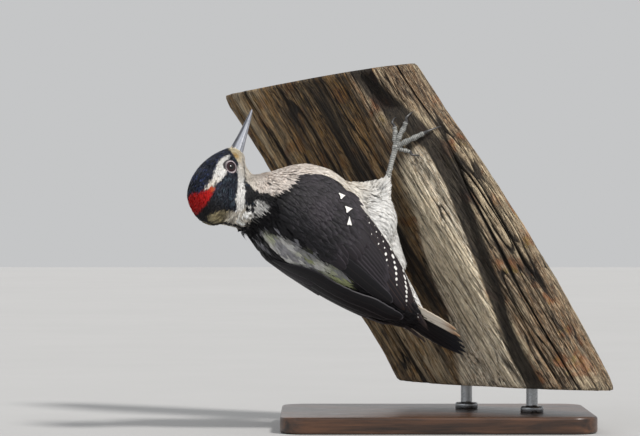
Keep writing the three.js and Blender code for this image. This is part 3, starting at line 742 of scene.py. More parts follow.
def coat(name, places, normals, length, half, seed, fringe=0.16, rise=0.0, arch=0.35, tone=0.07, colour_of=plumage,
         lie_of=lie, depth_of=coat_depth, surface=skin, edge=0.0, edge_colour=None, flat=unwrapped):
    """Small feathers over the skin.

    Each is a grid of 4 rows by 7 columns. Its middle line starts at its root and takes three strides along the lie of
    the coat, brought back to the skin after each, and it rises to the coat's depth. It is widest past its root, sinks
    at its edges by the square of the distance from the middle, and its tip ends in barbs of uneven length.
    """
    draw = np.random.RandomState(seed)
    count = len(places)
    length, half = np.broadcast_to(length, count).astype(float), np.broadcast_to(half, count).astype(float)
    length, half = length * draw.uniform(0.85, 1.15, count), half * draw.uniform(0.88, 1.12, count)
    spine, ups, ways = [places], [normals], []
    sway = draw.normal(0, 0.13, (count, 1))
    for _ in range(ROWS - 1):
        way = lie_of(spine[-1])
        way = unit(way - ups[-1] * np.sum(way * ups[-1], -1, keepdims=True))
        way = unit(way + np.cross(ups[-1], way) * sway)
        at, up = surface.nearest(spine[-1] + way * (length / (ROWS - 1))[:, None])
        spine.append(at), ups.append(up), ways.append(way)
    ways.append(ways[-1])
    spine, ups, ways = (np.stack(a, 1)[:, :, None] for a in (spine, ups, ways))
    beside = unit(np.cross(ups, ways))
    c = np.linspace(-1, 1, COLUMNS)[None, None, :]
    wide = half[:, None, None] * ROW_WIDE[None, :, None]
    depth = depth_of(places) + rise
    lift = depth[:, None, None] * ROW_LIFT[None, :, None] * draw.uniform(0.9, 1.15, (count, 1, 1)) - arch * wide * c**2
    barb = draw.uniform(-1, 1, (count, 1, COLUMNS)) * np.array([0, 0, 0.25, 1])[None, :, None]
    reach = (length[:, None, None] * fringe) * (barb - 0.9 * c**2 * np.array([0, 0, 0.5, 1])[None, :, None])
    points = spine + beside * (wide * c)[..., None] + ups * lift[..., None] + ways * reach[..., None]
    faces = many_faces(grid_faces(ROWS, COLUMNS), ROWS * COLUMNS, count)
    obj = piece(name, BIRD.out(points), faces, plumage_material, "black_plumage")
    tips = spine[:, 2, 0]
    base = colour_of(tips + draw.normal(0, 0.22, tips.shape))
    # Each feather's tone varies at random, and its rows are painted darker towards the root as shade under the feathers
    # that lie over it.
    light = draw.normal(1, tone, (count, 1, 1)) * np.array([0.84, 0.93, 1.0, 1.04])[None, :, None]
    light = light * draw.uniform(0.92, 1.06, (count, 1, COLUMNS))
    tint = base[:, None, None] * light[..., None]
    # Paler rims at the edges and tips, partly worn fringes and partly painted sheen.
    if edge:
        rim = edge * np.maximum(np.abs(c) ** 6, np.array([0, 0, 0.15, 1.0])[None, :, None])
        rim = rim * draw.uniform(0.3, 1, (count, 1, 1))
        tint = tint * (1 - rim[..., None]) + edge_colour * rim[..., None]
    tinted(obj, np.clip(tint, 0, 1))
    along = np.linspace(0, 1, ROWS)[None, :, None] * length[:, None, None]
    vane = stack(wide * c / 10 + 0.5, along / 100)
    lay_flat(obj, "vane", vane.reshape(-1, 2))
    patch = stack(c * 0.0015, np.linspace(-0.0015, 0.0015, ROWS)[None, :, None])
    lay_flat(obj, "OFBake", flat(places)[:, None, None] + patch)

# ---------------------------------------------------------------- shader nodes


class Value:
    """A shader socket that takes part in sums, each of which adds a Math node to its tree."""

    def __init__(self, socket):
        self.socket, self.tree = socket, socket.id_data

    def sum(self, operation, *others):
        return add(self.tree, "Math", dict(enumerate((self, *others))), operation=operation)[0]

    def __add__(self, other):
        return self.sum("ADD", other)

    def __sub__(self, other):
        return self.sum("SUBTRACT", other)

    def __mul__(self, other):
        return self.sum("MULTIPLY", other)

    def __truediv__(self, other):
        return self.sum("DIVIDE", other)

    def __abs__(self):
        return self.sum("ABSOLUTE")

    def span(self, low, high, to_low=0.0, to_high=1.0):
        """The value carried smoothly from one range to another."""
        ranges = {"Value": self, "From Min": low, "From Max": high, "To Min": to_low, "To Max": to_high}
        return add(self.tree, "MapRange", ranges, interpolation_type="SMOOTHSTEP")[0]


class Outputs:
    """A node's outputs by name or number."""

    def __init__(self, node):
        self.node = node

    def __getitem__(self, key):
        return Value(self.node.outputs[key])


def add(tree, kind, inputs=None, **settings):
    """A shader node's outputs. Its inputs are given by name or number, each as a Value to link from or a value to
    set."""
    node = tree.nodes.new("ShaderNode" + kind)
    for key, value in settings.items():
        setattr(node, key, value)
    for key, value in (inputs or {}).items():
        if isinstance(value, Value):
            tree.links.new(value.socket, node.inputs[key])
        else:
            node.inputs[key].default_value = value
    return Outputs(node)


def mix(share, a, b, how="MIX"):
    """Two colours mixed. Each is a Value, three linear values, or written in hexadecimal."""
    def full(value):
        return value if isinstance(value, Value) else (*(linear(value) if isinstance(value, str) else value), 1.0)

    tree = next(v.tree for v in (share, a, b) if isinstance(v, Value))
    return add(tree, "Mix", {0: share, 6: full(a), 7: full(b)}, data_type="RGBA", blend_type=how)[2]


def painted(colour, *coats):
    """A colour with others laid over it in turn, each given as (share, colour)."""
    for share, coat_ in coats:
        colour = mix(share, colour, coat_)
    return colour


def drawn_out(place, scale, **more):
    return add(place.tree, "Mapping", {"Vector": place, "Scale": scale, **more})[0]


def noise(place, scale, detail, **more):
    return add(place.tree, "TexNoise", {"Vector": place, "Scale": scale, "Detail": detail, **more})[0]


def group(name, inputs, outputs, build):
    """A shader group. Each input has its starting value, or None for a place; build(inputs) returns the values to put
    out."""
    tree = bpy.data.node_groups.new(name, "ShaderNodeTree")
    for socket, value in inputs.items():
        kind = "NodeSocketVector" if value is None else "NodeSocketFloat"
        made = tree.interface.new_socket(socket, in_out="INPUT", socket_type=kind)
        if value is not None:
            made.default_value = value
    for socket in outputs:
        tree.interface.new_socket(socket, in_out="OUTPUT", socket_type="NodeSocketFloat")
    source, sink = tree.nodes.new("NodeGroupInput"), tree.nodes.new("NodeGroupOutput")
    for i, value in enumerate(build(Outputs(source))):
        tree.links.new(value.socket, sink.inputs[i])
    return tree


def use(which, **inputs):
    """A group's outputs."""
    tree = next(v.tree for v in inputs.values() if isinstance(v, Value))
    return add(tree, "Group", inputs, node_tree=which)


def build_barbs(given):
    """Fine lines that slant back from a feather's shaft, and the shaft itself. The vane map holds tenths of millimetres
    across from the shaft, about a half, and hundredths along it."""
    vane = given["Vane"]
    flat = add(vane.tree, "SeparateXYZ", {0: vane})
    across = abs((flat[0] - 0.5) * 10.0)
    slant = flat[1] * 100.0 - across * 1.3
    line = (slant * (2 * math.pi) / given["Spacing"]).sum("SINE") * 0.5 + 0.5
    return line, across.span(given["Shaft"], 0.0)


def build_mottle(given):
    """Two sizes of soft noise added together and stretched to fill 0 to 1."""
    big = noise(given["Place"], given["Scale"], 4.0)
    fine = noise(given["Place"], given["Scale"] * 5.3, 3.0)
    return (fine * 0.4 + big * 0.6).span(0.34, 0.66), fine


def build_grain(given):
    """Weathered grain: streaks drawn out along Y by stretched noise, narrow cracks where a second noise nears its
    middle, and broad patches."""
    place, scale = given["Place"], given["Scale"]
    streak = noise(drawn_out(place, (1.0, 0.07, 1.0)), scale, 6.0, Roughness=0.65, Distortion=0.4)
    split = noise(drawn_out(place, (1.0, 0.045, 1.0)), scale * 0.55, 3.0, Distortion=0.8)
    return streak, abs(split - 0.5).span(0.035, 0.005), noise(place, scale * 0.12, 5.0)


barbs = group("feather_barbs", dict(Vane=None, Spacing=0.4, Shaft=0.25), ("Line", "Rachis"), build_barbs)
mottle = group("mottle", dict(Place=None, Scale=100.0), ("Value", "Fine"), build_mottle)
grain = group("weathered_grain", dict(Place=None, Scale=0.5), ("Streak", "Crack", "Patch"), build_grain)


class Material:
    """A Principled material. Values are named by its sockets, with _ for each space."""

    def __init__(self, name, **values):
        self.made = bpy.data.materials.new(name)
        self.made.use_nodes = True
        self.tree = self.made.node_tree
        self.inputs = self.tree.nodes["Principled BSDF"].inputs
        for key, value in values.items():
            self.inputs[key.replace("_", " ")].default_value = value

    def given(self, name, output=2):
        """The mesh's attribute of that name."""
        return add(self.tree, "Attribute", attribute_name=name)[output]

    def flat(self, name):
        return add(self.tree, "UVMap", uv_map=name)[0]

    def place(self):
        return add(self.tree, "TexCoord")["Object"]

    def finished(self, colour, height=None, strength=0.0, distance=0.0, roughness=None):
        """The material, with its colour, its roughness and the relief of its surface joined to the shader."""
        joined = {"Base Color": colour, "Roughness": roughness}
        if height is not None:
            joined["Normal"] = add(self.tree, "Bump", {"Height": height, "Strength": strength, "Distance": distance})[0]
        for key, value in joined.items():
            if value is not None:
                self.tree.links.new(value.socket, self.inputs[key])
        return self.made


# ---------------------------------------------------------------- materials


# The white spots' half length in bars, and their middle and half width across the feather, from -1 to 1.
SPOT_LONG, SPOT_MIDDLE, SPOT_WIDE = 0.125, -0.62, 0.5


def feather_material(name, line_depth, spacing, rough_dark, rough_pale, shaft=0.12, spots=False, **values):
    """Plumage takes its colour from the feather and is lined by its barbs. Pale feathers are duller than black ones."""
    m = Material(name, Sheen_Roughness=0.4, Specular_IOR_Level=0.25, **values)
    lines = use(barbs, Vane=m.flat("vane"), Spacing=spacing, Shaft=shaft)
    tint = m.given("tint", 0)
    shade = lines["Line"].span(0.0, 1.0, 1.0 - line_depth, 1.0 + 0.3 * line_depth)
    colour = mix(1.0, tint, add(m.tree, "CombineXYZ", {0: shade, 1: shade, 2: shade})[0], "MULTIPLY")
    if spots:
        # Each spot is an ellipse: about a whole number of the bars along the feather, and about a place on its outer web.
        beat = abs((m.given("bar") + 0.5).sum("FRACT") - 0.5) / SPOT_LONG
        reach = abs(m.given("web") - SPOT_MIDDLE) / SPOT_WIDE
        far = beat * beat + reach * reach
        inside = (m.given("spot") - far).span(-0.12, 0.12)
        colour = painted(colour, (inside, WHITE * 0.92), (lines["Rachis"] * 0.5, "3a3130"))
    paleness = add(m.tree, "RGBToBW", {0: tint})[0]
    rough = paleness.span(0.02, 0.4, rough_dark, rough_pale) + lines["Line"] * 0.06
    return m.finished(colour, lines["Rachis"] * 1.2 + lines["Line"], 0.35, 0.00008, rough)


def skin_material():
    """The skin under the feathers: the same pattern, darker as painted shade beneath them, with the stubble of the
    down.
    """
    m = Material("skin_under_plumage", Roughness=0.85)
    spots = use(mottle, Place=m.place(), Scale=900.0)
    shade = mix(spots["Value"], (0.7, 0.69, 0.68), (0.95, 0.95, 0.95))
    return m.finished(mix(1.0, m.given("tint", 0), shade, "MULTIPLY"), spots["Fine"], 0.5, 0.0003)


def horn_material(name, dark, pale, rough):
    """Horn of the bill and claws: paler towards its sides and tip, with streaks along it and a worn edge."""
    m = Material(name, Coat_Weight=0.25, Coat_Roughness=0.25)
    streak = use(mottle, Place=drawn_out(m.flat("length"), (26.0, 2.2, 1.0)), Scale=1.0)
    wear = use(mottle, Place=m.place(), Scale=420.0)
    share = m.given("pale") + streak["Value"].span(0, 1, -0.22, 0.22)
    colour = painted(mix(share, dark, pale), (wear["Value"].span(0.62, 0.95, 0.0, 0.35), "2b2a2c"))
    return m.finished(colour, streak["Fine"], 0.25, 0.00012, wear["Fine"].span(0.3, 0.7, rough - 0.06, rough + 0.16))


def eye_material():
    """A dark red-brown iris with fibres that run out from a black pupil, under a wet clear coat."""
    m = Material("eye", Roughness=0.3, Specular_IOR_Level=0.1, Coat_Weight=1.0, Coat_Roughness=0.07, Coat_IOR=1.4)
    flat = m.flat("gaze")
    off = add(m.tree, "SeparateXYZ", {0: flat})[1]
    iris = mix(noise(drawn_out(flat, (60.0, 3.0, 1.0)), 1.0, 3.0), "1d0b12", "3a1b24")
    return m.finished(painted(iris, (off.span(0.46, 0.58), "0d0609"), (off.span(0.31, 0.28), "020202")))


def lid_material():
    """The bare ring of the lids: pale grey beads with dark skin between them."""
    m = Material("eyelid", Roughness=0.55)
    spots = use(mottle, Place=m.place(), Scale=1500.0)
    colour = mix(m.given("pale") * spots["Value"].span(0, 1, 0.75, 1.0), "2a2629", "d6c6cb")
    return m.finished(colour, spots["Fine"], 0.4, 0.0002)


def scales_material():
    """Grey scutes with dark joints and pale dusty crowns."""
    m = Material("leg_scales")
    spots, share = use(mottle, Place=m.place(), Scale=700.0), m.given("pale")
    colour = painted(mix(share, "1c1d20", "b4b5b0"), (spots["Value"].span(0.35, 0.9, 0.0, 0.6), "34373a"))
    return m.finished(colour, share + spots["Fine"] * 0.5, 0.5, 0.0002, spots["Fine"].span(0.3, 0.7, 0.42, 0.7))


def log_material():
    """Dead wood greyed by weather: ridges painted pale as light, brown flanks, furrows painted near-black as shade,
    rusty and lichen-yellow patches.
    """
    m = Material("weathered_wood", Roughness=0.85)
    place, lit_and_shaded_band = m.given("trunk", 1), m.given("lit_and_shaded_band")
    lines, fine = use(grain, Place=place, Scale=0.55), use(grain, Place=place, Scale=2.2)
    streak, thin = lines["Streak"], fine["Streak"]
    # Less painted shade in the furrows of the band of painted light.
    relief = lit_and_shaded_band.span(0.0, 0.8) * 0.2 + m.given("relief")
    age = noise(drawn_out(place, (1.0, 0.22, 1.0)), 0.045, 5.0, Roughness=0.6)
    crack = lines["Crack"].sum("MAXIMUM", fine["Crack"] * 0.7)
    colour = painted(
        mix(streak.span(0.35, 0.65), "3a2718", "8f6a44"),
        (age.span(0.43, 0.56), mix(streak.span(0.35, 0.65), "8a7358", "d9c6a4")),
        (thin.span(0.42, 0.66, 0.0, 0.55), "d8c8ac"),
        (thin.span(0.52, 0.36, 0.0, 0.6), "3a2b20"),
        (lines["Patch"].span(0.54, 0.66, 0.0, 0.6), "8e4f22"),
        (noise(place, 0.07, 6.0, Roughness=0.7).span(0.58, 0.68, 0.0, 0.5), "98802c"),
        # A pale band of painted light on the lit part of the face, and a golden-brown band to its left deepened as
        # painted shade.
        (lit_and_shaded_band.span(0.0, 1.0, 0.0, 0.9), mix(thin.span(0.38, 0.6), "bfa788", "fff4de")),
        (lit_and_shaded_band.span(0.0, -0.8, 0.0, 0.62), mix(streak.span(0.4, 0.62), "38260f", "a57a38")),
        (use(mottle, Place=place, Scale=0.5)["Value"].span(0.6, 1.0, 0.0, 0.35), "4b4632"),
        # Painted light on the ridges, and painted shade, near-black, in the furrows and the groove.
        (relief.span(0.60, 0.85, 0.0, 0.5), "dccbab"),
        (relief.span(0.52, 0.16, 0.0, 0.92), "140e0a"),
        (crack * 0.75, "120c09"))
    return m.finished(colour, streak * 1.2 + thin - crack, 0.9, 0.0011)


def cut_material():
    """Sawn end grain: rings about the heart, greyed and stained."""
    m = Material("end_grain", Roughness=0.85)
    place = m.given("trunk", 1)
    rings = ((m.given("ring") + noise(place, 0.12, 4.0) * 0.25) * 120.0).sum("SINE")
    stain = use(mottle, Place=place, Scale=0.16)
    colour = painted(mix(rings.span(-0.8, 0.9), "7a5f45", "b79a77"), (stain["Value"].span(0.4, 1.0, 0.0, 0.7), "5c5148"))
    return m.finished(colour, rings * 0.3 + stain["Fine"], 0.6, 0.0006)


def stand_material():
    """Dark oiled walnut: soft grain across the plate, open pores and a satin finish."""
    m = Material("stand_wood", Coat_Weight=0.2, Coat_Roughness=0.2)
    turned = drawn_out(m.place(), (1000.0, 1000.0, 1000.0), Rotation=(0.0, 0.0, math.radians(90)))
    streak, pores = (use(grain, Place=turned, Scale=scale)["Streak"] for scale in (0.16, 1.3))
    colour = painted(mix(streak.span(0.35, 0.68), "20150f", "5a3b27"), (pores.span(0.45, 0.75, 0.0, 0.5), "3a2518"))
    return m.finished(colour, pores, 0.25, 0.0002, pores.span(0.3, 0.7, 0.3, 0.48))


def steel_material():
    """Brushed steel: fine rings turned round the rod, and a few duller marks."""
    m = Material("steel", Metallic=1.0)
    lines = noise(drawn_out(m.place(), (200.0, 200.0, 9000.0)), 1.0, 3.0)
    marks = use(mottle, Place=m.place(), Scale=160.0)["Value"]
    return m.finished(mix(marks, "8d9093", "b3b5b7"), lines, 0.12, 0.0001, lines * 0.16 + marks.span(0, 1, 0.18, 0.3))


def floor_material():
    m = Material("studio_floor", Roughness=0.9)
    soft = use(mottle, Place=m.place(), Scale=2.0)["Value"]
    return m.finished(mix(soft, (0.40, 0.40, 0.40), (0.415, 0.415, 0.415)))


plumage_material = feather_material("plumage", 0.16, 0.42, 0.52, 0.8, Subsurface_Weight=0.45, Subsurface_Scale=0.0014,
                                    Subsurface_Radius=(1.0, 0.95, 0.9), Sheen_Weight=0.03)
flight_material = feather_material("flight_feather", 0.14, 0.36, 0.46, 0.7, shaft=0.22, spots=True, Sheen_Weight=0.02)

# ---------------------------------------------------------------- the skin and its coat

skin_piece = piece("bird_skin", BIRD.out(skin.points), skin.faces, skin_material(), "black_plumage")
# The skin takes the plumage's pattern darkened to 0.85, as painted shade in the gaps between the feathers.
merged(tinted(skin_piece, plumage(skin.points) * 0.85))
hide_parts("head", "neck", "body", "thigh_right", "thigh_left")


def wing_share(p):
    """(share, across) of places in the bird's frame on the folded wing that lies over them."""
    share = (WING["bend"] - p[..., 0]) / WING["length"]
    low, high = wing_limits(share)
    return share, (body_angle(p) - low) / (high - low)


def clear_of_wing(p):
    """False where a wing hides the skin."""
    share, across = wing_share(p)
    over = (across > np.where(share > 0.3, 0.01, 0.12)) & (across < 0.66)
    return ~((share > 0.09) & (share < 0.80) & over & (p[..., 2] > -24))


def clear_of_eye(h, radius):
    return np.hypot(h[..., 0] - EYE["along"], h[..., 2] - EYE["up"]) > radius


def is_head(p):
    return headness(p) > 0.5


def is_face(p):
    return is_head(p) & (HEAD_IN_BIRD.into(p)[..., 0] > -7)


def is_leg(p):
    return (p[..., 2] < -27) & (p[..., 0] < 6) & ~is_head(p)


def is_neck(p):
    return (p[..., 0] > 34) & ~is_head(p)


def open_face(p):
    h = HEAD_IN_BIRD.into(p)
    on_bill = (h[..., 0] > 10.5) & (np.hypot(h[..., 1] / 4.6, (h[..., 2] - 0.4) / 4.6) < 1)
    return clear_of_eye(h, 4.3) & ~on_bill


def coat_part(name, wanted, spacing, length, half, seed, **more):
    places, normals = scattered(skin, spacing, wanted, seed)
    coat(name, places, normals, length, half, seed + 1, **more)


def is_trunk(p):
    """The back, breast and belly that no wing hides."""
    return ~is_head(p) & ~is_leg(p) & clear_of_wing(p)


coat_part("coat_face", lambda p: is_face(p) & open_face(p), 0.53, 1.75, 0.34, 11, fringe=0.3)
coat_part("coat_head", lambda p: is_head(p) & ~is_face(p), 0.72, 3.0, 0.47, 21, fringe=0.3)
coat_part("coat_neck", is_neck, 1.0, 5.4, 0.75, 31, fringe=0.35)
coat_part("coat_back", lambda p: is_trunk(p) & ~is_neck(p) & (body_angle(p) > 20), 1.6, 8.5, 1.3, 41, fringe=0.25)
coat_part("coat_breast", lambda p: is_trunk(p) & ~is_neck(p) & (body_angle(p) <= 20) & (p[..., 0] > -2), 1.3, 7.5, 1.0, 51,
          fringe=0.3, rise=-0.4, arch=0.15)
coat_part("coat_belly", lambda p: is_trunk(p) & (body_angle(p) <= 20) & (p[..., 0] <= -2), 1.35, 7.5, 1.0, 61,
          fringe=0.3, rise=-0.6, arch=0.12)
coat_part("coat_legs", is_leg, 0.95, 4.6, 0.62, 71, fringe=0.35, rise=-0.5, arch=0.12)


def build_bristles():
    """The stiff pale bristles that lie forward over the base of the bill: narrow blades of 5 rows by 3, which rise a
    little along the bill and close to a point."""
    draw = np.random.RandomState(95)
    count, rows = 260, 5
    turn = draw.uniform(-0.15, math.pi + 0.15, count)
    along = draw.uniform(6.5, 11.0, count)
    wide = np.interp(along, [6.5, 10, 14.5], [8.2, 7.0, 5.6])
    root = stack(along, np.cos(turn) * wide * 0.93, 1.4 + np.sin(turn) * wide * 0.86)[:, None, None]
    t = np.linspace(0, 1, rows)[None, :, None, None]
    c = np.array([-1.0, 0, 1])[None, None, :, None]
    outward = stack(0 * turn, np.cos(turn), np.sin(turn))[:, None, None]
    beside = stack(0 * turn, -np.sin(turn), np.cos(turn))[:, None, None]
    long_ = draw.uniform(3.2, 5.6, count)[:, None, None, None]
    sway = draw.normal(0, 0.12, count)[:, None, None, None]
    points = root + np.array([1.0, 0, 0]) * long_ * t - outward * (1.9 * t + 0.5 * t**2 - 0.8 * np.sin(np.pi * t))
    points = points + beside * (sway * long_ * t + 0.2 * c * (1 - t**3))
    faces = many_faces(grid_faces(rows, 3), rows * 3, count)
    obj = piece("nasal_bristles", HEAD.out(points), faces, plumage_material, "white_plumage")
    # Each bristle's tone varies at random, and it is painted darker towards its root as shade.
    shade = lerp(0.75, 1.15, draw.rand(count))[:, None, None, None] * (0.75 + 0.3 * t)
    tinted(obj, lerp(BUFF, CREAM, draw.rand(count)[:, None, None, None]) * shade + 0 * c)
    lay_flat(obj, "vane", stack(0.5 + 0.02 * c, long_ * t / 100))
    centre = stack(0.66 + 0.33 * turn / math.pi, 0.02 + 0.56 * (along + 42) / 60)[:, None, None]
    lay_flat(obj, "OFBake", (centre + np.concatenate(np.broadcast_arrays(c * 0.0015, (t - 0.5) * 0.003), -1)))


build_bristles()

# ---------------------------------------------------------------- wings


BLADE_THICK = 0.22


def blade_grid(rows, columns, ease):
    """(t, ring, below) of a thin closed blade: 0 to 1 from root to tip, -1 to 1 across its top and back beneath it,
    and 1 beneath."""
    c = np.linspace(-1, 1, columns)
    t = (1 - (1 - np.linspace(0, 1, rows)) ** ease)[None, :, None]
    return t, np.concatenate([c, c[-2:0:-1]]), np.repeat([0.0, 1.0], [columns, columns - 2])


def blades(points, turned, **values):
    """Feathers one after another, from their points by feather, row and place round it, and values for each point."""
    count, rows, around = points.shape[:3]
    faces = many_faces(grid_faces(rows, around, True), rows * around, count)[:, ::turned]
    values["which"] = np.arange(count)[:, None, None]
    return SimpleNamespace(points=points, faces=faces, count=count,
                           **{key: np.broadcast_to(value, points.shape[:-1]).ravel() for key, value in values.items()})


def wing_vanes(side, root, tip, half, lift, rows, columns, tip_power, seed, bow=1.0, camber=0.2, tilt=0.4):
    """Long feathers that lie on the folded wing, each a thin closed blade.

    root and tip are (share, across) on the wing, lift is how high the root and the tip lie, and half the half width.
    The middle line runs from root to tip, with across bowed by a power. Its width opens over the first part, and
    closes at the tip as the root of 1 - t^n. The blade is arched across by the square of the distance from its shaft,
    and tilted like a shingle so that its lower edge rides over the next one.
    """
    draw = np.random.RandomState(seed)
    t, ring, below = blade_grid(rows, columns, 1.6)
    (share, across), (share_end, across_end), (low, high) = (stack(*a).T[..., None, None] for a in (root, tip, lift))
    long_ = np.abs(share_end - share) * WING["length"]
    share, across = lerp(share, share_end, t), lerp(across, across_end, t**bow)
    close = np.sqrt(np.clip(1 - t**tip_power, 0, 1))
    ragged = 1 + draw.uniform(-0.05, 0.03, (len(share), rows, 2))[..., (ring > 0).astype(int)]
    half = np.broadcast_to(half, len(share))[:, None, None]
    off = ring * (half * (0.35 + 0.65 * smooth(t, 0, 0.18)) * close * ragged)
    step = 0.01
    gone = wing_place(side, share, across + step) - wing_place(side, share, across - step)
    aside = across + off / np.maximum(np.linalg.norm(gone, axis=-1) / (2 * step), 2.0)
    height = lerp(low, high, t) - camber * ring**2 - tilt * ring - below * BLADE_THICK * (1 - 0.7 * np.abs(ring))
    return blades(wing_place(side, share + 0 * ring, aside, height), side, c=ring, t=t, along=t * long_, off=off,
                  share=share, across=aside, middle=across)


def feather_piece(name, made, tint, spots=None):
    """A piece of large feathers. tint() gives its colour. Its baking map gives each feather a cell of its own."""
    obj = tinted(piece(name, BIRD.out(made.points), made.faces, flight_material, "black_plumage"), tint(made))
    bar, spot = spots(made) if spots else (0 * made.c, 0 * made.c - 1)
    for key, values in (("web", made.c), ("bar", bar), ("spot", spot)):
        paint(obj, key, values)
    lay_flat(obj, "vane", stack(made.off / 10 + 0.5, made.along / 100))
    side = math.ceil(math.sqrt(made.count))
    x, y = made.which % side, made.which // side
    lay_flat(obj, "OFBake", stack((x + 0.5 + 0.45 * made.c) / side, (y + 0.03 + 0.94 * made.t) / side))
    return obj


def dark_feather(base, edge, seed, strength, edge_share=0.75, tip_share=0.9):
    """Dark feathers, each a little lighter or darker than the next, paler along their edges and tips: partly worn
    fringes, partly painted sheen.
    """
    def tint(made):
        jitter = np.random.RandomState(seed).normal(1, 0.12, made.count)[made.which]
        rim = np.maximum(smooth(np.abs(made.c), edge_share, 1.0), smooth(made.t, tip_share, 1.0))
        return np.clip(blend(base * jitter[:, None], edge, rim * strength), 0, 1)

    return tint


# Places along the wing, at a fifth of the way across, of the bars of white spots.
SPOT_BARS = [0.43, 0.494, 0.548, 0.603, 0.682, 0.781, 0.884, 0.95]


def primary_spots(made):
    """(phase, size) of the white spots: they stand in bars across the closed wing, at each whole number of the phase."""
    share = made.share
    place = share - np.interp(share, [0.6, 0.85], [0.36, 0.17]) * (made.middle - 0.24)
    size = np.interp(share, [0.40, 0.42, 0.57, 0.60, 0.95, 0.97], [-1, 0.12, 0.16, 0.65, 0.6, -1])
    uneven = np.random.RandomState(64).uniform(0.6, 1.2, (made.count, len(SPOT_BARS) + 2))
    size = size * uneven[made.which, (share * 9).astype(int) % 8]
    size = size * np.interp(made.which, [0, 1, 2, 3, 4, 5, 6, 8], [0.5, 1.7, 0.55, 1.5, 0.5, 0.6, 0.35, 0.25])
    shown = np.interp(share, [0.45, 0.55, 0.66, 0.75, 0.85, 0.92], [0.24, 0.31, 0.34, 0.40, 0.5, 0.95])
    phase = np.interp(place, SPOT_BARS, np.arange(len(SPOT_BARS)), left=-0.5, right=7.5)
    return phase, np.where(made.across > shown, -1, size)


def wing_cloth(side, out):
    """The folded wing's front as a grid of share by across, for small feathers to grow from."""
    s, a = np.meshgrid(np.linspace(-0.04, 0.66, 90), np.linspace(-0.03, 1.16, 60), indexing="ij")
    points = wing_place(side, s, a, out)
    normals = unit(np.cross(np.gradient(points, axis=0), np.gradient(points, axis=1))) * side
    faces = grid_faces(90, 60)
    if np.sum(normals[40, 20] * (points[40, 20] * [0, 1, 1])) < 0:
        normals = -normals
    corner = points.reshape(-1, 3)[faces[2000]]
    if np.sum(np.cross(corner[1] - corner[0], corner[2] - corner[1]) * normals.reshape(-1, 3)[faces[2000][0]]) < 0:
        faces = faces[:, ::-1]
    return Surface(points.reshape(-1, 3), normals.reshape(-1, 3), faces)


def wing_colour(p):
    """Brown-black over the wing in soft patches, black between them and towards the back, and pale along its front
    edge."""
    share, across = wing_share(p)
    wave, cloud = soft_noise(p * 0.22 + 9, 51), soft_noise(p * 0.075 + 4, 52)
    c = BROWN_BLACK * (0.2 + 0.6 * wave + 1.5 * cloud**2)[..., None]
    c = blend(c, BLACK, np.maximum(smooth(across, 0.62, 0.85), 0.75 * smooth(0.42 * cloud + 0.58 * wave, 0.54, 0.42)))
    c = c * (0.55 + 0.45 * smooth(share, 0.03, 0.16))[..., None]
    return blend(c, BREAST * 0.8, smooth(share, 0.035, 0.02) * smooth(across, 0.9, 0.8))


def wing_coat(name, cloth, wanted, spacing, length, half, depth, seed, **more):
    """Small feathers of the wing, which point to its tip."""
    def flat(p):
        share, across = wing_share(p)
        return stack(0.02 + 0.96 * np.clip(across, 0, 1.2) / 1.2, 0.02 + 0.96 * np.clip(share + 0.05, 0, 0.8) / 0.8)

    places, normals = scattered(cloth, spacing, wanted, seed)
    coat(name, places, normals, length, half, seed + 1, lie_of=lambda p: np.broadcast_to([-1.0, 0, 0], p.shape),
         depth_of=lambda p: np.full(len(p), depth), surface=cloth, flat=flat, **more)


# Rows of (share and across of the middle, length, half width, degrees of turn from the wing's front edge towards its tip).
COVERT_SPOTS = [(0.268, 0.185, 4.6, 2.3, 15), (0.329, 0.243, 5.4, 2.3, 15), (0.363, 0.336, 5.0, 1.95, 90)]


def build_covert_spots(side, name, extra):
    """Three white wedges among the median coverts, each a small curved leaf, narrow at its apex and widest at its
    other end."""
    rows, columns = 9, 9
    t, c = np.meshgrid(np.linspace(0, 1, rows), np.linspace(-1, 1, columns), indexing="ij")
    parts = []
    for share, across, long_, half, turn in COVERT_SPOTS:
        here = np.array([across - 0.01, across + 0.01])
        metric = np.linalg.norm(np.diff(wing_place(side, np.full(2, share), here), axis=0)) / 0.02
        wide = half * (0.06 + 0.94 * t**1.15) * (1 - 0.3 * smooth(t, 0.86, 1))
        down = (t - 0.5) * long_ - 0.07 * long_ * t * (1 - np.abs(c))
        aside = c * wide
        turn = math.radians(turn)
        left, low = down * math.cos(turn) - aside * math.sin(turn), down * math.sin(turn) + aside * math.cos(turn)
        rear, inward = 0.64 * low - 0.77 * left, 0.77 * low + 0.64 * left
        lift = 1.55 + extra - 0.12 * c**2 + 0.1 * t
        points = wing_place(side, share + rear / WING["length"], across + inward / metric, lift)
        parts.append((points, grid_faces(rows, columns)))
    points, faces = joined(parts)
    obj = piece(f"covert_spots_{name}", BIRD.out(points), faces[:, ::-side], plumage_material, "white_plumage")
    tinted(obj, WHITE * 0.97)
    c, t = np.tile(c, (3, 1, 1)), np.tile(t, (3, 1, 1))
    lay_flat(obj, "vane", stack(c * 0.15 + 0.5, t * 0.03))
    lay_flat(obj, "OFBake", stack(np.array([0.2, 0.5, 0.8])[:, None, None] + c * 0.12, 0.3 + 0.4 * t))


# Rows of (root, tip, half width, lift at both), by side. Root and tip are share and across.
TERTIALS = {1: [(0.2, 0.58, 0.665, 0.62, 4.6, -0.5, 0.3), (0.2, 0.64, 0.725, 0.67, 4.8, -0.3, 0.5),
                (0.2, 0.70, 0.775, 0.71, 5.0, -0.1, 0.7)],
            -1: [(0.2, 0.62, 0.70, 0.80, 4.8, -0.5, 0.5), (0.2, 0.76, 0.765, 0.95, 5.0, -0.3, 0.8),
                 (0.2, 0.90, 0.82, 1.15, 5.2, -0.1, 1.2), (0.22, 1.03, 0.872, 1.5, 5.4, 0.1, 1.6)]}


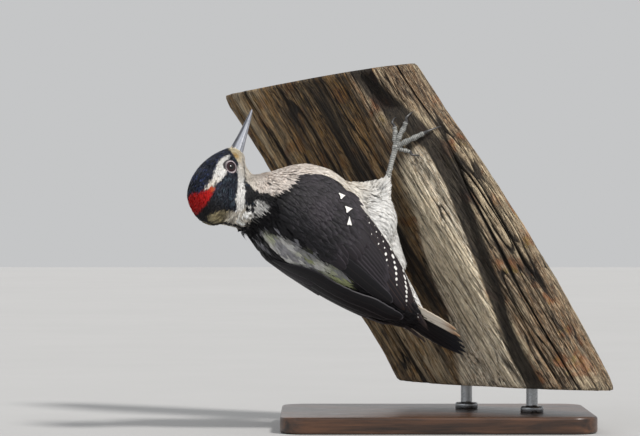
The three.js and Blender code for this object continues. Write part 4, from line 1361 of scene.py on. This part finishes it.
def build_wing(side, name):
    """One folded wing: primaries lowest, then secondaries, tertials, and the rows of coverts, each over the last."""
    right = side > 0
    extra = 0.0 if right else 0.2
    # rim is the grey of the pale feather edges, partly worn fringes and partly painted sheen.
    rim = linear("57525a")
    draw = np.random.RandomState(60)

    def row(kind, root, tip, half, lift, tint, *spots, **shape):
        lift = [height + extra for height in lift]
        feather_piece(f"{kind}_{name}", wing_vanes(side, root, tip, half, lift, **shape), tint, *spots)

    i = np.arange(9)
    tips = np.array([0.80, 0.875, 0.94, 0.985, 1.01, 0.99, 0.945, 0.895, 0.85]) * (1 if right else 1.03)
    row("primaries", (0.20 + 0.012 * i, 0.09 + 0.044 * i), (tips, 0.02 + 0.08 * i), 3.1, (-1.2 + 0.04 * i, -0.6 + 0.08 * i),
        dark_feather(BROWN_BLACK, linear("4a3a30"), 5, 0.55, tip_share=0.93), primary_spots,
        rows=46, columns=9, tip_power=5.0, bow=1.3, camber=0.1, seed=1)
    i = np.arange(8)
    row("secondaries", (0.2, 0.28 + 0.045 * i), (0.66 + 0.012 * i + draw.normal(0, 0.006, 8), 0.34 + 0.05 * i), 4.2,
        (-0.9 + 0.07 * i, -0.2 + 0.08 * i), dark_feather(BROWN_BLACK * 0.8, rim, 6, 0.35, edge_share=0.86),
        rows=34, columns=9, tip_power=6.0, seed=2)
    a = np.array(TERTIALS[side]).T
    row("tertials", a[:2], a[2:4], a[4], a[5:],
        dark_feather(BLACK * 1.1, linear("77737a"), 7, 0.32, edge_share=0.92, tip_share=0.98),
        rows=40, columns=11, tip_power=10.0, bow=1.0 if right else 4.5, camber=0.5, tilt=0.3, seed=3)
    # Primary coverts and alula: short stiff feathers along the lower edge.
    i = np.arange(10)
    row("edge_coverts", (0.10 + 0.02 * i, 0.03 + 0.012 * i), (0.26 + 0.032 * i, 0.035 + 0.016 * i), 2.3,
        (-0.7 - 0.03 * i, -0.35 - 0.04 * i), dark_feather(BROWN_BLACK * 0.95, rim, 8, 0.3),
        rows=20, columns=7, tip_power=7.0, seed=4)
    # Greater coverts: one row, tips along a bowed line.
    i = np.arange(13)
    a = np.linspace(0.08, 0.74 if right else 0.90, 13) + draw.normal(0, 0.008, 13)
    bulge = 0.385 + 0.13 * np.sin(np.pi * np.clip((a - 0.02) / 0.95, 0, 1)) ** 0.8
    row("greater_coverts", (bulge - 0.17, a * 0.92 + 0.04), (bulge + draw.normal(0, 0.012, 13), a),
        draw.uniform(3.5, 4.3, 13), (-0.3 + 0.05 * i, 0.35 + 0.03 * i),
        dark_feather(BROWN_BLACK, rim, 11, 0.35, edge_share=0.84, tip_share=0.95),
        rows=18, columns=9, tip_power=4.5, camber=0.3, tilt=0.3, seed=10)
    # Median and lesser coverts, the breast feathers that lap over the bend, and the shoulder feathers over the inner edge.
    cloth = wing_cloth(side, -0.3 if right else -1.1)
    front = 0.035 if right else 0.165

    def within(low, high, inner, outer):
        """Holds on the part of the wing between two shares, the second bowed, that lies clear of the stripe down the
        back."""
        def wanted(p):
            share, across = wing_share(p)
            clear = np.interp(share + 0.04, [0.1, 0.2, 0.33, 0.41, 0.53], [1.05, 1.0, 0.86, 0.79, 0.73]) if right else 1.0
            bowed = high + 0.09 * np.sin(np.pi * np.clip(across, 0, 1))
            return (share > max(low, front)) & (share < bowed) & (across > inner) & (across < np.minimum(outer, clear))

        return wanted

    def at_bend(p):
        share, across = wing_share(p)
        torn = 0.045 + 0.02 * (soft_noise(p * 0.3, 53) - 0.5)
        return (share < torn) & (across > 0.03) & (across < 0.84) & (share > (-0.03 if right else 0.034))

    dark = dict(colour_of=wing_colour, tone=0.2)
    pale_edge = dict(edge=0.45, edge_colour=rim, **dark)
    for kind, wanted, spacing, length, half, depth, seed, more in (
        ("median_coverts", within(0.14, 0.30, 0.03, 0.93), 2.5, 9.5, 2.7, 1.0, 80, dict(fringe=0.10, **pale_edge)),
        ("lesser_coverts", within(-0.03, 0.145, 0.02, 0.97), 1.55, 6.4, 1.6, 1.1, 84, dict(fringe=0.14, **pale_edge)),
        ("breast_lap", at_bend, 0.95, 4.6, 0.62, 0.8, 92, dict(fringe=0.4, arch=0.15)),
        ("shoulder_feathers", within(0.0, 0.30, 0.72, 1.1), 2.0, 9.0, 1.6, 1.2, 88,
         dict(fringe=0.3, edge=0.2, edge_colour=linear("34363f"), **dark)),
    ):
        wing_coat(f"{kind}_{name}", cloth, wanted, spacing, length, half, depth, seed, **more)
    build_covert_spots(side, name, extra)
    # The black bed that the feathers lie on, which shows through their gaps as painted shade.
    s, a = np.meshgrid(np.linspace(0.07 if right else 0.14, 0.97, 40), np.linspace(0.02, 0.98, 24), indexing="ij")
    loop = capped(np.concatenate([wing_place(side, s, a, -2.2), wing_place(side, s, a, -3.0)[:, ::-1]], 1))
    faces = grid_faces(len(loop), loop.shape[1], True)
    bed = piece(f"wing_bed_{name}", BIRD.out(loop), faces, skin_piece.data.materials[0], "black_plumage")
    merged(tinted(bed, BLACK))
    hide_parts(f"wing_{name}_coverts", f"wing_{name}_flight")


for side, name in ((1, "right"), (-1, "left")):
    build_wing(side, name)

# ---------------------------------------------------------------- tail


def tail_up(along):
    """The tail's height in the bird's frame: it bends down to the wood late in its length."""
    share = np.clip((along - TAIL["root"]) / (TAIL["tip"] - TAIL["root"]), 0, 1)
    return lerp(TAIL["rootUp"], TAIL["tipUp"], share ** TAIL["curl"])


def build_tail():
    """Ten stiff feathers, the middle pair longest and on top. Each is a closed blade, arched across, with a worn
    point."""
    rows, count = 56, 2 * TAIL["pairs"]
    pair = np.repeat(np.arange(TAIL["pairs"]), 2)[:, None, None]
    hand = np.tile([-1, 1], TAIL["pairs"])[:, None, None]
    t, ring, below = blade_grid(rows, 13, 1.4)
    tip = TAIL["tip"] + TAIL["stagger"] * pair * (0.6 + 0.1 * pair)
    along = lerp(TAIL["root"] + 6.0, tip, t)
    out = hand * (TAIL["innerOut"] + TAIL["spread"] * np.where(hand > 0, 0.35, 1.0) * pair / (TAIL["pairs"] - 1))
    worn = 1 + np.random.RandomState(40).uniform(-0.08, 0.02, (count, rows, 2))[..., (ring > 0).astype(int)]
    vane = TAIL["halfVane"] * np.clip(1 - t**4.2, 0, 1) ** 0.75 * np.minimum(1, 4 * t + 0.15) * worn
    stiff = 0.55 * np.exp(-((ring / 0.14) ** 2)) * (1 - t)
    height = tail_up(along) + 0.75 + TAIL["layer"] * 1.6 * (TAIL["pairs"] - pair) - 0.7 * ring**2 * (1 - 0.4 * t) + stiff
    height = height - below * (0.28 - 0.1 * np.abs(ring))
    points = stack(along, lerp(0.35 * out, out, t) + ring * vane, height)
    made = blades(points, -1, c=ring, t=t, along=t * np.abs(tip - TAIL["root"]), off=ring * vane)

    def tint(made):
        """Black middle feathers with a brown wash at their tips, and white outer ones, which stain to rust."""
        outer = made.which // 2
        dark = blend(BLACK * 0.9, linear("1d2026"), smooth(made.t, 0.6, 1))
        pale = blend(CREAM, linear("a5713f"), smooth(made.t, 0.72, 0.98) * 0.8)
        pale = blend(pale, linear("c9b390"), smooth(np.abs(made.c), 0.3, 1) * 0.3)
        inner_black = smooth(np.where(made.which % 2 == 0, 1, -1) * made.c, 0.2, 0.5) * (outer == 3)
        white = (outer >= 3) * (1 - inner_black)
        return blend(dark, pale, white) * np.random.RandomState(4).normal(1, 0.06, count)[made.which][:, None]

    obj = feather_piece("tail_feathers", made, tint)
    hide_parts("tail")


build_tail()

# ---------------------------------------------------------------- bill


def build_bill(name, upwards, height, tip, node):
    """Half of the bill: flat at the seam, arched away from it with a ridge or shoulders, and straight to a chisel
    tip.

    The section is u across and (1 - |u|^p)^(1/p) high. Both shrink along the bill, and at its very tip the width
    closes.
    """
    rows, columns = 70, 33
    s = (1 - (1 - np.linspace(0, 1, rows)) ** 1.3)[:, None]
    taper = lerp(1, BILL["chisel"], s**0.9)
    u = np.sin(np.linspace(-np.pi / 2, np.pi / 2, columns))[None]
    p = lerp(1.65, 1.35, s)
    arch = np.clip(1 - np.abs(u) ** p, 0, 1) ** (1 / p)
    height_of, middle, spread = (0.07, 0.62, 0.13) if upwards > 0 else (0.05, 0, 0.12)
    shoulder = height_of * np.exp(-(((np.abs(u) - middle) / spread) ** 2)) * (1 - s)
    closing = np.sqrt(np.clip(1 - s**60, 0, 1))
    wide = BILL["halfWide"] * taper * closing * (1 - 0.04 * np.sin(np.pi * s))
    seam = BILL["seam"] + upwards * GAP / 2
    tall = height * taper * lerp(1, 0.55, s**14) * (1 + (0.34 if upwards > 0 else 0.05) * (1 - s) ** 2)
    along = lerp(BILL["root"], tip, s)
    top = stack(along, u * wide, seam + upwards * (arch + shoulder) * tall)
    hollow = 0.12 * (1 - s) * (1 - u[:, ::-1] ** 2)
    flat = stack(along, u[:, ::-1] * wide * 0.985, seam + upwards * hollow * 0.2)[:, 1:-1]
    loop = capped(np.concatenate([top, flat], 1))
    obj = piece(name, HEAD.out(loop), grid_faces(len(loop), loop.shape[1], True), horn["bill"], "horn")
    full_u = np.concatenate([u, u[:, ::-1][:, 1:-1]], 1)
    # The upper bill's sides are painted paler: partly the horn's own grey, partly a painted highlight on their faces.
    side_pale = smooth(np.abs(full_u), 0.5, 0.8)
    s_all = np.concatenate([s[:1], s, s[-1:]])
    pale = np.clip(0.08 + 0.8 * side_pale + 0.25 * smooth(s_all, 0.85, 1) - 0.15 * smooth(s_all, 0.25, 0.0), 0, 1)
    if upwards < 0:
        pale = np.clip(0.55 + 0.25 * smooth(np.abs(full_u), 0.2, 0.9) + 0 * s_all, 0, 1)
    paint(obj, "pale", np.broadcast_to(pale, loop.shape[:-1]).ravel())
    lay_flat(obj, "length", stack(full_u * 0.5 + 0.5, s_all))
    merged(obj)
    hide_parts(node)


horn = {"bill": horn_material("bill_horn", "1f202c", "a2a6b0", 0.28),
        "claw": horn_material("claw_horn", "2c2b2c", "7d7c7c", 0.32)}
build_bill("bill_upper_fine", 1, BILL["upper"], BILL["tip"], "bill_upper")
build_bill("bill_lower_fine", -1, BILL["lower"], BILL["tip"] - 0.8, "bill_lower")

# ---------------------------------------------------------------- eyes

LID_OPEN = 2.75  # radius of the opening between the lids


def build_eye(side, name):
    """The eyeball is a sphere with a slight bulge before the iris. The lids are a beaded ring from the eyeball to the
    skin."""
    rows, sides = 40, 64
    off, angle = np.meshgrid(np.linspace(0, np.pi, rows), full_turn(sides), indexing="ij")
    radius = EYE["radius"] * (1 + 0.035 * np.exp(-((off / 0.5) ** 4)))
    ball = stack(radius * np.sin(off) * np.cos(angle), side * radius * np.cos(off), radius * np.sin(off) * np.sin(angle))
    middle = np.array([EYE["along"], side * EYE["out"], EYE["up"]])
    faces = grid_faces(rows, sides, True)
    eye = piece(f"eyeball_{name}", HEAD.out((ball + middle)), faces, eye_paint, "eye")
    lay_flat(eye, "gaze", stack(angle / (2 * np.pi), off / (np.pi / 2)).reshape(-1, 2))
    merged(eye)
    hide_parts(f"eye_{name}")
    # Lids: a profile from inside the rim, over its bead, out to beneath the feathers.
    steps = np.linspace(0, 1, 18)[:, None]
    around = full_turn(120)[None]
    slit = 1 + 0.07 * np.abs(np.cos(around)) ** 6 - 0.05 * np.abs(np.sin(around)) ** 2
    bead = 1 + 0.16 * np.abs(np.sin(around * 11)) ** 1.5
    reach = LID_OPEN * slit + steps * 2.2 - 0.12
    rim_depth = np.sqrt(EYE["radius"] ** 2 - LID_OPEN**2)
    height = rim_depth + 0.10 + 0.42 * np.sin(np.pi * np.clip(steps * 1.5, 0, 1)) * bead
    height = height - 0.95 * smooth(steps, 0.5, 1.0) - 0.25 * smooth(0.1 - steps, 0, 0.1)
    ring = stack(reach * np.cos(around), side * height, reach * np.sin(around)) + middle
    under = ring[::-1].copy()
    under[..., 1] -= side * 0.35
    loop = np.concatenate([ring, under])
    lid = piece(f"eyelid_{name}", HEAD.out(loop), grid_faces(len(loop), loop.shape[1], True), lid_paint, "eye")
    beads = 0.25 + 0.75 * np.abs(np.sin(around * 11)) ** 1.2

    def arc(degrees, width):
        off = (np.degrees(around) - degrees + 180) % 360 - 180
        return np.exp(-((off / width) ** 2))

    arcs = np.clip(0.35 + 0.75 * arc(205, 48) + 0.45 * arc(20, 55) - 0.2 * arc(110, 30), 0.1, 1)
    pale = np.broadcast_to(smooth(steps, 0.16, 0.30) * (1 - smooth(steps, 0.56, 0.70)) * beads * arcs, ring.shape[:-1])
    paint(lid, "pale", np.concatenate([pale, pale[::-1] * 0]).ravel())
    merged(lid)


eye_paint, lid_paint = eye_material(), lid_material()
for side, name in ((-1, "right"), (1, "left")):
    build_eye(side, name)

# ---------------------------------------------------------------- legs and feet

scale_paint = scales_material()


def scute_ring(pitch, depth, lengths, front):
    """Radius factors for overlapping scutes: across the front of a tube each one rises towards its lower edge, then
    drops to the next; the back is pebbled."""
    def factors(ring, angle):
        at = lengths[np.minimum(ring, len(lengths) - 1)]
        facing = smooth(np.cos(angle - front), -0.1, 0.5)
        saw = (at / pitch) % 1.0
        pebble = 0.05 * np.sin(at / pitch * 4 * np.pi) * np.sin(angle * 5)
        return 1 + depth * (saw - 0.4) * facing + pebble * (1 - facing)

    return factors


def smooth_line(points, count):
    return run_of(points)(np.linspace(0, 1, count))


def toe_line(foot, angle, reach, lift, count):
    return smooth_line(np.stack([toe_place(foot, angle, r, l) for r, l in zip(reach, lift)]), count)


def lengths_of(line):
    return np.concatenate([[0], np.cumsum(np.linalg.norm(np.diff(line, axis=0), axis=1))])


def joints_pale(lengths, pitch, sides):
    """Paler on each scute's crown, dark in the joints, for each point of a tube with its two closed ends."""
    wave = 0.08 + 0.92 * np.abs(np.sin(np.pi * lengths / pitch)) ** 1.3
    wave = np.concatenate([wave[:1], wave, wave[-1:]])
    return np.repeat(wave, sides)


def build_leg(name, foot):
    heel = TRUNK_IN_BIRD.into(leg_place("heel", foot, 1))
    joint = foot_joint(foot)
    parts, pale = [], []
    line = smooth_line([heel + (heel - joint) * 0.10, heel, lerp(heel, joint, 0.5) + np.array([0, 0.25, 0]), joint], 70)
    lengths = lengths_of(line)
    share = lengths / lengths[-1]
    width = LEG["tarsusRadius"] * (1.02 + 0.22 * (2 * share - 1) ** 2)
    parts.append(tube(line, width, 22, scute_ring(1.35, 0.16, lengths, 1.2)))
    pale.append(joints_pale(lengths, 1.35, 22))
    # The knob of the foot.
    knob = smooth_line([joint + (heel - joint) * 0.12, joint, joint - np.array([0, 0, 1.6])], 16)
    parts.append(tube(knob, 2.0 * np.sqrt(np.clip(1 - np.linspace(-0.8, 0.95, 16) ** 2, 0.02, 1)) + 0.2, 22))
    pale.append(joints_pale(lengths_of(knob), 0.9, 22))
    for angle, length, radius in TOES.values():
        reach = [0.6, *(share * length + LEG["jointRadius"] for share in (0.35, 0.72, 1))]
        line = toe_line(foot, angle, reach, [LEG["footHeight"] - 0.4, 4.3, 2.6, radius + 1.1], 64)
        lengths = lengths_of(line)
        share = lengths / lengths[-1]
        pads = 1 + 0.13 * np.cos(share * 6 * np.pi) - 0.12 * share
        pads = pads * (1 - 0.35 * smooth(share, 0.93, 1.0))
        parts.append(tube(line, radius * pads, 20, scute_ring(1.1, 0.22, lengths, 0.6)))
        pale.append(joints_pale(lengths, 1.1, 20))
    points, faces = joined(parts)
    obj = piece(f"leg_scaled_{name}", TRUNK.out(points), faces, scale_paint, "scales")
    paint(obj, "pale", np.concatenate(pale))
    merged(obj)
    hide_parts(f"leg_{name}", f"foot_{name}")


def build_claws(name, foot):
    """Each claw is a hooked tube, deeper than it is wide, that runs to a fine point in the wood."""
    for toe, (angle, length, radius) in TOES.items():
        start = length + LEG["jointRadius"] + 2 * GAP
        reach = [start - 1.4, *(start + share * CLAW["length"] for share in (0, 0.42, 0.82, 0.92))]
        lift = [radius + 0.9, radius + 1.0, CLAW["height"] + 0.6, CLAW["height"] * 0.45, -CLAW["bite"]]
        line, share = toe_line(foot, angle, reach, lift, 40), np.linspace(0, 1, 40)
        width = lerp(CLAW["radius"], 0.12, share**1.25) * (0.8 + 0.2 * smooth(share, 0, 0.12))
        points, faces = tube(line, width, 16)
        obj = piece(f"claw_{name}_{toe}_fine", TRUNK.out(points), faces, horn["claw"], "claw")
        rings = np.concatenate([share[:1], share, share[-1:]])
        paint(obj, "pale", np.repeat(np.clip(0.35 - 0.5 * rings + 0.5 * smooth(rings, 0.85, 1), 0, 1), 16))
        lay_flat(obj, "length", np.stack(np.meshgrid(rings, np.linspace(0, 1, 16), indexing="ij")[::-1], -1).reshape(-1, 2))
        merged(obj)
        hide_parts(f"claw_{name}_{toe}")


for name, foot in FEET.items():
    build_leg(name, foot)
    build_claws(name, foot)

# ---------------------------------------------------------------- the log


def log_section(angle, up):
    """(across, out) of the log's bare surface: a superellipse |x|^n + |z|^n = 1, wider on the bird's left, with a
    waist."""
    power = 2 / LOG["squareness"]
    x, z = np.cos(angle), np.sin(angle)
    x, z = np.sign(x) * np.abs(x) ** power, np.sign(z) * np.abs(z) ** power
    away = 1 - np.clip(np.sin(angle), 0, 1) ** 2
    swell = 1 + LOG["swell"] * np.sin(up / 46 + 0.7) * away
    return log_half(np.cos(angle), up) * swell * x, LOG["depth"] / 2 * (z - 1)


def contact(p):
    """1 where a foot or the tail rests, 0 away from them, in the trunk's frame."""
    near = np.zeros(p.shape[:-1])
    for foot in FEET.values():
        middle = foot_joint(foot) + np.array([3.0 * foot["side"], 3.0, 0])
        near = np.maximum(near, 1 - smooth(np.linalg.norm((p - middle)[..., :2], axis=-1), 13, 24))
    near = np.maximum(near, 1 - smooth(np.hypot(p[..., 0] / 1.3, p[..., 1] - 6), 7, 18))
    return near * smooth(p[..., 2], -34, -20)


# Rows of (folds in each millimetre across, height, the same along as a share of across, how dark the painted shade of a
# split furrow is).
FURROWS = [(0.06, 3.2, 0.06, 1), (0.13, 2.0, 0.06, 1), (0.30, 0.9, 0.06, 0.8), (0.7, 0.42, 0.06, 0.6), (1.5, 0.22, 0.07, 0.4)]


def furrows(p):
    """Relief of the weathered face, in millimetres, and how deep in a furrow each place lies.

    Noise drawn out along the grain is folded about its middle, which gives round ridges with narrow furrows between
    them. Five sizes are added, each about half as high as the one before, and the furrows of the larger ones split
    deep here and there.
    """
    wander = 7 * (soft_noise(p * [0.008, 0.016, 0.008] + 7, 21) - 0.5) + 1.2 * (soft_noise(p * 0.05 + 2, 27) - 0.5)
    q = p + stack(wander, 0 * wander, wander * 0.6)
    height, depth = 6.0 * (soft_noise(q * [0.035, 0.006, 0.035], 22) - 0.5), 0
    for k, (pitch, tall, run, deep) in enumerate(FURROWS):
        fold = np.abs(2 * soft_noise(q * [pitch, pitch * run, pitch] + 5 * k, 23 + k) - 1)
        height = height + tall * (np.minimum(fold * 2.2, 1) ** 0.55 - 0.8)
        here = soft_noise(q * [pitch * 0.4, pitch * 0.05, pitch * 0.4] + 31 * k, 40 + k)
        open_ = (1 - smooth(fold, 0.0, 0.10)) * smooth(here, 0.45, 0.62)
        height = height - 1.6 * tall * open_
        depth = np.maximum(depth, open_ * deep)
    return height, depth


# Rows of (up the trunk, place across it) of the deep groove between its two planks, and of the left edge of the band of
# painted light.
GROOVE = [(-60, 28), (-20, 30), (0, 34), (40, 42), (90, 50), (115, 51), (140, 45), (165, 38), (230, 34)]
LIT_BAND_EDGE = [(-60, -30), (-20, -22), (14, -4), (54, 6), (82, 18), (105, 24), (130, 30)]


def planks(p):
    """(groove, tone): 1 in the deep groove, and 1 on the band of painted light to -1 on the dark golden band of painted
    shade.
    """
    drift = 5 * (soft_noise(p * [0.03, 0.012, 0.03] + 3, 61) - 0.5)
    x, y, z = p[..., 0] + drift, p[..., 1], p[..., 2]
    groove = follow(y, GROOVE)
    near = smooth(z, -24, -14)
    pale = smooth(x - follow(y, LIT_BAND_EDGE), -2, 3) * smooth(groove - 5 - x, -2, 2) * smooth(122 - y + drift, -3, 8) * near
    dark = smooth(follow(y, LIT_BAND_EDGE) - x, -1, 5) * near
    return np.exp(-(((x - groove) / 4.2) ** 2)) * near, pale - 0.8 * dark


def build_log():
    """The log's side is a grid of angle by distance between its two level cuts, moved in and out by its furrows."""
    columns, rows, steps_in = 690, 118, 9
    even = np.linspace(0, 2 * np.pi, 721)
    crowd = np.concatenate([[0], np.cumsum(1 + 0.75 * np.sin((even[1:] + even[:-1]) / 2))])
    angle = np.interp(np.linspace(0, crowd[-1], columns, endpoint=False), crowd, even)
    slope = math.tan(math.radians(LOG["topSlope"]))
    up_axis = TRUNK.axes[:, 1]

    def world(up):
        x, z = log_section(angle, up)
        return TRUNK.out(stack(x, up, z))

    low, high = np.full(columns, 0.0), np.full(columns, 160.0)
    for _ in range(12):
        w = world(low)
        low = low - (w[:, 2] - LOG["bottomZ"]) / up_axis[2]
        w = world(high)
        rise = w[:, 2] - (LOG["topZ"] + (w[:, 0] - LOG["topX"]) * slope)
        high = high - rise / (up_axis[2] - slope * up_axis[0])
    share = np.linspace(0, 1, rows)[:, None]
    up = lerp(low, high, share)
    x, z = log_section(np.broadcast_to(angle, up.shape), up)
    side = stack(x, up, z)
    out = stack(np.cos(angle) / 75, np.sin(angle) / 27)
    out = out / np.linalg.norm(out, axis=1, keepdims=True)
    out = stack(out[:, 0], 0 * angle, out[:, 1])
    relief, split = furrows(side)
    groove, tone = planks(side)
    # The groove is cut into the face, and painted near-black as shade through the split value.
    relief, split = relief - 5.5 * groove, np.maximum(split, 0.85 * groove)
    rest = contact(side)
    edge = np.minimum(share, 1 - share) * 200
    near_face = smooth(side[..., 2], -20, -2)
    amount = (1 - 0.92 * rest) * (1 - 0.45 * near_face) * (0.25 + 0.75 * smooth(edge, 0, 7))
    push = relief * amount
    push = np.where(near_face > 0.2, np.minimum(push, 1.4), push)
    side = side + out[None] * push[..., None] - out[None] * (0.8 * (1 - smooth(edge, 0, 1.6)))[..., None]
    # The sawn ends, drawn in to their middles and a little rough.
    steps = np.linspace(1, 0, steps_in)[1:, None, None]
    caps = []
    for rim in (side[0], side[-1]):
        centre = rim.mean(0)
        cap = centre + (rim - centre) * steps
        rough = soft_noise(cap * 0.5, 30) - 0.5
        cap[..., 1] += 0.35 * rough * smooth(steps[..., 0], 0, 0.1)
        caps.append(cap)
    grid = np.concatenate([caps[0][::-1], side, caps[1]])
    points = TRUNK.out(grid)
    foot = points[: len(caps[0]), :, 2]
    foot[:] = np.maximum(foot, LOG["bottomZ"] - GAP)
    faces = grid_faces(len(grid), columns, True)
    is_side = (faces[:, 0] // columns >= len(caps[0])) & (faces[:, 1] // columns < len(caps[0]) + rows)
    log = piece("log", points.reshape(-1, 3), faces, log_material(), "weathered_wood")
    log.data.materials.append(cut_material())
    log.data.polygons.foreach_set("material_index", (~is_side).astype(np.int32))
    paint(log, "trunk", grid.reshape(-1, 3))
    ends = np.linspace(0, 1, steps_in)[:-1]

    def over_side(values, low, high):
        """Values of the side's own points, with the two ends' rings from the middle out before and after them."""
        rings = [np.broadcast_to(np.asarray(end)[:, None], (len(ends), columns)) for end in (low, high[::-1])]
        return np.concatenate([rings[0], np.broadcast_to(values, up.shape), rings[1]]).ravel()

    halves, zeros = np.full(len(ends), 0.5), np.zeros(len(ends))
    # The relief value carries the face's height and its split furrows: painted light on the ridges and painted shade in
    # the furrows.
    paint(log, "relief", over_side(np.clip(0.62 + relief / 11 - 0.6 * split, 0, 1), halves, halves))
    # From the band of painted light, 1, to the band of painted shade, -1.
    paint(log, "lit_and_shaded_band", over_side(tone, zeros, zeros))
    paint(log, "ring", over_side(1, ends, ends))
    merged(log, 1e-6)
    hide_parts("perch_trunk")


build_log()

# ---------------------------------------------------------------- the stand

BASE = dict(wide=190, deep=136, thick=10, corner=16, bevel=1.5)
ROD = dict(radius=3.5, collarRadius=7, collarHeight=4, collarEdge=1.2, intoWood=9)
ROD_PLACES = dict(front=(58, -21), back=(20, 17))


def build_base():
    """A plate with rounded corners and a rounded edge: a rounded rectangle drawn in by a quarter circle at its top
    and bottom."""
    corner, half = np.linspace(0, np.pi / 2, 24), np.array([BASE["wide"], BASE["deep"]]) / 2 - BASE["corner"]
    middles = np.repeat([(1, 1), (-1, 1), (-1, -1), (1, -1)], len(corner), 0) * half
    turn = (corner + np.arange(4)[:, None] * np.pi / 2).ravel()
    ways = stack(np.cos(turn), np.sin(turn))
    bevel, arc = BASE["bevel"], np.linspace(0, np.pi / 2, 8)
    profile = [(-bevel + bevel * np.sin(a), bevel - bevel * np.cos(a)) for a in arc]
    profile += [(-bevel + bevel * np.cos(a), BASE["thick"] - bevel + bevel * np.sin(a)) for a in arc]
    rings = np.stack([stack(*(middles + ways * (BASE["corner"] + inset)).T, z) for inset, z in profile])
    rings = capped(rings, ([0, 0, 0], [0, 0, BASE["thick"]]))
    base = piece("display_base", rings, grid_faces(len(rings), rings.shape[1], True), stand_material(), "stand_wood")
    merged(base)
    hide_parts("stand_base")


def build_rod(name, place, material):
    """A turned rod: a profile of radius by height carried round its axis, with a rounded collar at its foot."""
    foot, top = BASE["thick"], LOG["bottomZ"] + ROD["intoWood"]
    collar, high, edge, thin = ROD["collarRadius"], foot + ROD["collarHeight"], ROD["collarEdge"], ROD["radius"]
    profile = [(0, foot), (collar - 0.3, foot), (collar, foot + 0.3)]
    profile += [(collar - edge * (1 - np.cos(a)), high - edge * (1 - np.sin(a))) for a in np.linspace(0, np.pi / 2, 8)]
    profile += [(thin + 0.35, high), (thin, high + 0.35)]
    profile += [(thin, z) for z in np.linspace(high + 1, top, 12)] + [(0, top)]
    radius, height = np.array(profile).T
    angle = full_turn(72)
    rings = stack(place[0] + radius[:, None] * np.cos(angle), place[1] + radius[:, None] * np.sin(angle), height[:, None])
    rod = piece(f"display_rod_{name}", rings.reshape(-1, 3), grid_faces(len(rings), 72, True)[:, ::-1], material, "steel")
    merged(rod)
    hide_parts(f"stand_rod_{name}")


build_base()
steel = steel_material()
for name, place in ROD_PLACES.items():
    build_rod(name, place, steel)

# ---------------------------------------------------------------- floor, light and camera


def build_floor():
    size = 6000.0
    at = np.linspace(-size, size, 9)
    x, y = np.meshgrid(at, at, indexing="ij")
    floor = piece("floor", stack(x, y, 0 * x - 0.2).reshape(-1, 3), grid_faces(9, 9), floor_material(), None)
    merged(floor)
    if floor.data.polygons[0].normal.z < 0:
        floor.data.flip_normals()


def soft_light(name, way, strength, spread, colour=(1, 1, 1)):
    """A broad far light that shines along a direction, wide enough to soften its shadows."""
    light = bpy.data.lights.new(name, "SUN")
    light.energy, light.angle, light.color = strength, math.radians(spread), colour
    obj = bpy.data.objects.new(name, light)
    bpy.context.scene.collection.objects.link(obj)
    obj.rotation_euler = Vector(way).to_track_quat("-Z", "Y").to_euler()


build_floor()
soft_light("key", (-0.62, 0.62, -0.95), 3.2, 10, (1.0, 0.97, 0.93))
soft_light("fill", (0.9, 0.8, -0.45), 0.35, 60, (0.93, 0.96, 1.0))
soft_light("back", (0.3, -0.9, -0.7), 0.5, 40)

world = bpy.data.worlds.new("studio")
world.use_nodes = True
world.node_tree.nodes["Background"].inputs[0].default_value = (0.93, 0.94, 0.95, 1)
world.node_tree.nodes["Background"].inputs[1].default_value = 0.6
bpy.context.scene.world = world
bpy.context.scene.view_settings.view_transform = "Standard"

camera = bpy.data.cameras.new("camera")
camera.sensor_width, camera.lens = 36.0, 168.75
camera_object = bpy.data.objects.new("camera", camera)
bpy.context.scene.collection.objects.link(camera_object)
camera_object.location, camera_object.rotation_euler = (-0.071, -1.847, 0.1284), (math.radians(90), 0, 0)
bpy.context.scene.camera = camera_object
